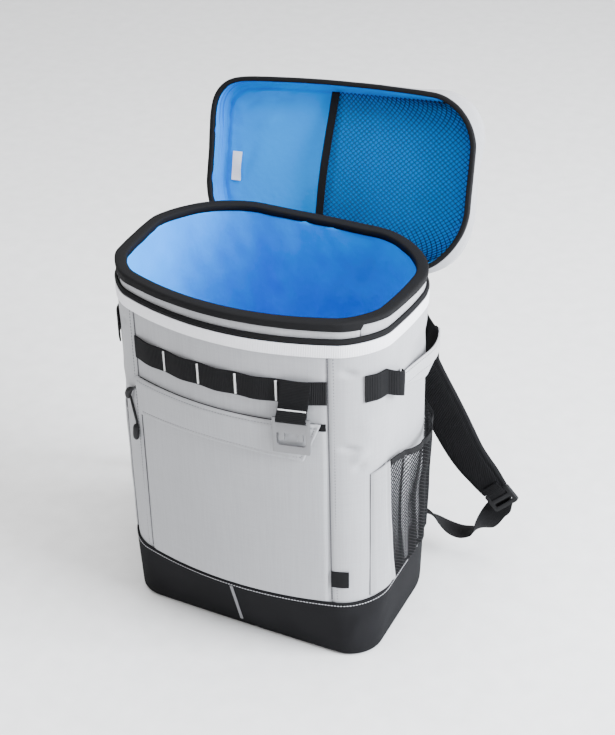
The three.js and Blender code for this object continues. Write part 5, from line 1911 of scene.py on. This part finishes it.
# %% [markdown]
# Half of the lid is a net pocket. Its mouth has a black strip that leans a little, and the net
# swells there, because it is cut wider than the lining. The far edge follows the lid's outline.

# %% Net pocket in the lid
NET_MOUTH, NET_LEAN, NET_SWELL, NET_TAPE = -18, 9, 7.5, 8.5
LID_NET = {"across": 2.8, "up": 2.6, "radius": 0.45}
net_outline = lid_outline[:, :2] + lid_outline[:, 2:4] * (LINER_OUT - 2.0)
NET_LOW, NET_HIGH = 9.0, 178.0
net_y = LID["depth"] / 2 - net_outline[:, 1]


def net_right(y):
    """The net's far edge follows the lid's outline."""
    right = net_outline[:, 0] > 40
    return np.interp(y, net_y[right][::-1], net_outline[right, 0][::-1])


def lining_rise(x, y):
    """How far the lining's rounded corner stands over its floor at a place inside the lid."""
    right_gap = np.maximum(net_right(y) + 3.0 - x, 0)
    gap = np.minimum(right_gap, np.minimum(y - (NET_LOW - 5.0), NET_HIGH + 6.0 - y))
    t = np.clip(1 - gap / 8, 0, 1)
    return 8 * (1 - np.sqrt(1 - t**2))


def lid_net_place(t, v):
    y = NET_LOW + (NET_HIGH - NET_LOW) * v
    mouth = NET_MOUTH + NET_LEAN * (v - 0.5)
    x = mouth + (net_right(y) - mouth) * t
    swell = NET_SWELL * np.cos(0.5 * math.pi * t) * hump(0.1 + 0.8 * v)
    height = np.maximum(swell + 0.35 * uneven(x, y, 40, 3), lining_rise(x, y))
    return lid_place(x, y, LINER_FLOOR + 1.2 + height)


print("net reach", np.round(net_right(np.array([NET_LOW, 100, NET_HIGH]))))
lid_net = net_mesh(
    "lid_net_threads", lid_net_place, round(150 / LID_NET["across"]),
    round((NET_HIGH - NET_LOW) / LID_NET["up"]) | 1,
    LID_NET["radius"], black_net,
)
ride(lid_net, "black_net", "lid_net")
sheet(lid_net, 168, 0.61)

tape_v, tape_t = np.linspace(0, 1, 60)[None, :], fine_ends(-0.5, 0.5, 6, 0.08)[:, None]
tape_y = NET_LOW + (NET_HIGH - NET_LOW) * tape_v
tape_x = NET_MOUTH + NET_LEAN * (tape_v - 0.5) + tape_t * NET_TAPE
tape_lift = LINER_FLOOR + 2.6 + NET_SWELL * hump(0.1 + 0.8 * tape_v) + 0.25 * uneven(tape_x, tape_y, 30)
net_strip = cloth_solid(
    "lid_net_tape", lid_place(tape_x, tape_y, tape_lift + 0.9),
    lid_place(tape_x, tape_y, tape_lift - 0.1), black_tape,
)
ride(net_strip, "black_webbing", "lid_net_binding")
sheet(net_strip, 10)
print("lid net", triangles(lid_net), "strip", triangles(net_strip))

# %% [markdown]
# A small white care label is sewn beside the net. It is bare, and curls up a little at its middle.

# %% Care label
LABEL = {"x": -124, "y": 90, "width": 11, "height": 31}
label_u, label_v = fine_ends(-0.5, 0.5, 10, 0.05)[None, :], fine_ends(-0.5, 0.5, 20, 0.05)[:, None]
label_x, label_y = LABEL["x"] + label_u * LABEL["width"], LABEL["y"] + label_v * LABEL["height"]
label_z = LINER_FLOOR + 1.6 + 1.4 * hump(label_v + 0.5) * (0.6 + label_u)
label = cloth_solid(
    "bare_care_label", lid_place(label_x, label_y, label_z + 0.5),
    lid_place(label_x, label_y, label_z), label_satin,
)
ride(label, "white_band", "care_label")
sheet(label, 11)
print("label", triangles(label))

# %% [markdown]
# Behind, a wide strip of grey cloth is the hinge. It is sewn under the band at the back of the
# mouth, falls a little, turns, and runs on under the lid's lower wall.

# %% Hinge strip
HINGE_HALF, HINGE_CLOTH, HINGE_ROWS = 58, 1.5, 50
BAND_OVER = 1.9
BACK_FACE = MOUTH["depth"] / 2


def hinge_section(x):
    """Places from the back of the mouth to the lid's wall, at one place along the hinge."""
    level = section_at(BAND_LOW)
    back_low = level["depth"] / 2 + level["shift"]
    lid_x = x - LID_AT[0]
    middle = 0.5 * HINGE_CLOTH
    under = [lid_place(lid_x, -GAP - middle, z) for z in (2, -6, -0.55 * LID_DEPTH)]
    away = BAND_OVER + middle
    top, low = (x, BACK_FACE + away, BODY_TOP - GAP), (x, back_low + away, BAND_LOW)
    return smooth_line([top, low, *under], HINGE_ROWS)


hinge_x = fine_ends(-HINGE_HALF, HINGE_HALF, 40) + LID_AT[0]
hinge_grid = np.stack([hinge_section(x) for x in hinge_x], 1)
along_hinge = np.gradient(hinge_grid, axis=0)
across_hinge = np.gradient(hinge_grid, axis=1)
hinge_away = unit(np.cross(along_hinge, across_hinge))
hinge_wave = 0.3 * uneven(hinge_x[None, :], 1.5 * np.arange(HINGE_ROWS)[:, None], 40, 8)[..., None]
hinge = cloth_solid(
    "hinge_cloth", hinge_grid + hinge_away * (0.7 + hinge_wave),
    hinge_grid - hinge_away * (0.7 - hinge_wave), grey_cloth,
)
ride(hinge, "grey_cloth", "hinge_strip")
sheet(hinge, 116)
print("hinge", triangles(hinge))

# %% [markdown]
# The last threads are those of the long seams. A light cord runs under the foot's hem. Beside each
# front seam a dark row holds the folded edge, and a tighter one lies in the seam itself and in the
# joins of the collar: it is seam thread, and also painted shade of their grooves, so that these
# read as dark lines.

# %% Threads on the body
PIPING_Z = 72.2
piping_a = girth(np.array([PIPING_Z]))[0] * np.linspace(-1, 1, 900)
piping_z = PIPING_Z + 0 * piping_a
foot_rows = [on_wall(piping_a, piping_z, FOOT_OUT + 0.4)]
foot_thread = stitches("foot_thread", foot_rows, grey_thread, 3.2, 2.7, 0.85, 0.9)
ride(foot_thread, "grey_cloth", "boot_piping")

seam_z = np.linspace(POCKET_FOOT, PANEL_HIGH - 4, 300)
seam_rows = [on_wall(sign * (front_seam(seam_z) + SEAM_ROW), seam_z, 0.15) for sign in (1, -1)]
seam_thread = stitches("seam_thread", seam_rows, dark_thread_and_shade, 3.6, 2.2, 0.8, 0.7)
# Seam thread and painted shade: tight rows of dark thread in the front seams and the collar's joins, which
# also darken their grooves.
join_rows = [on_wall(sign * (front_seam(seam_z) + 0.3), seam_z, -0.35) for sign in (1, -1)]
seam_join = stitches("seam_join", join_rows, dark_thread_and_shade, 3.0, 4.2, 1.2, 0.8)
join_z = np.linspace(COLLAR_LOW + 1.5, COLLAR_HIGH - 1.5, 30)
collar_rows = [on_wall(sign * corner_seam(join_z), join_z, -2.3) for sign in (1, -1)]
collar_join = stitches("collar_join", collar_rows, dark_thread_and_shade, 2.0, 2.8, 0.9, 0.8)
for thread in (seam_thread, seam_join, collar_join):
    ride(thread, "grey_cloth")
print("threads", triangles(foot_thread), triangles(seam_thread))

# %% Floor
floor_mesh = bpy.data.meshes.new("floor")
FLOOR_HALF, FLOOR_LOW = 6.0, -0.0005
floor_mesh.from_pydata(
    [(x * FLOOR_HALF, y * FLOOR_HALF, FLOOR_LOW) for x, y in ((-1, -1), (1, -1), (1, 1), (-1, 1))],
    [], [(0, 1, 2, 3)],
)
floor = add("floor", floor_mesh)
floor_mesh.materials.append(plain("pale_floor", (0.9, 0.9, 0.9), 0.7, 40.0, 0.0))

bpy.context.view_layer.update()
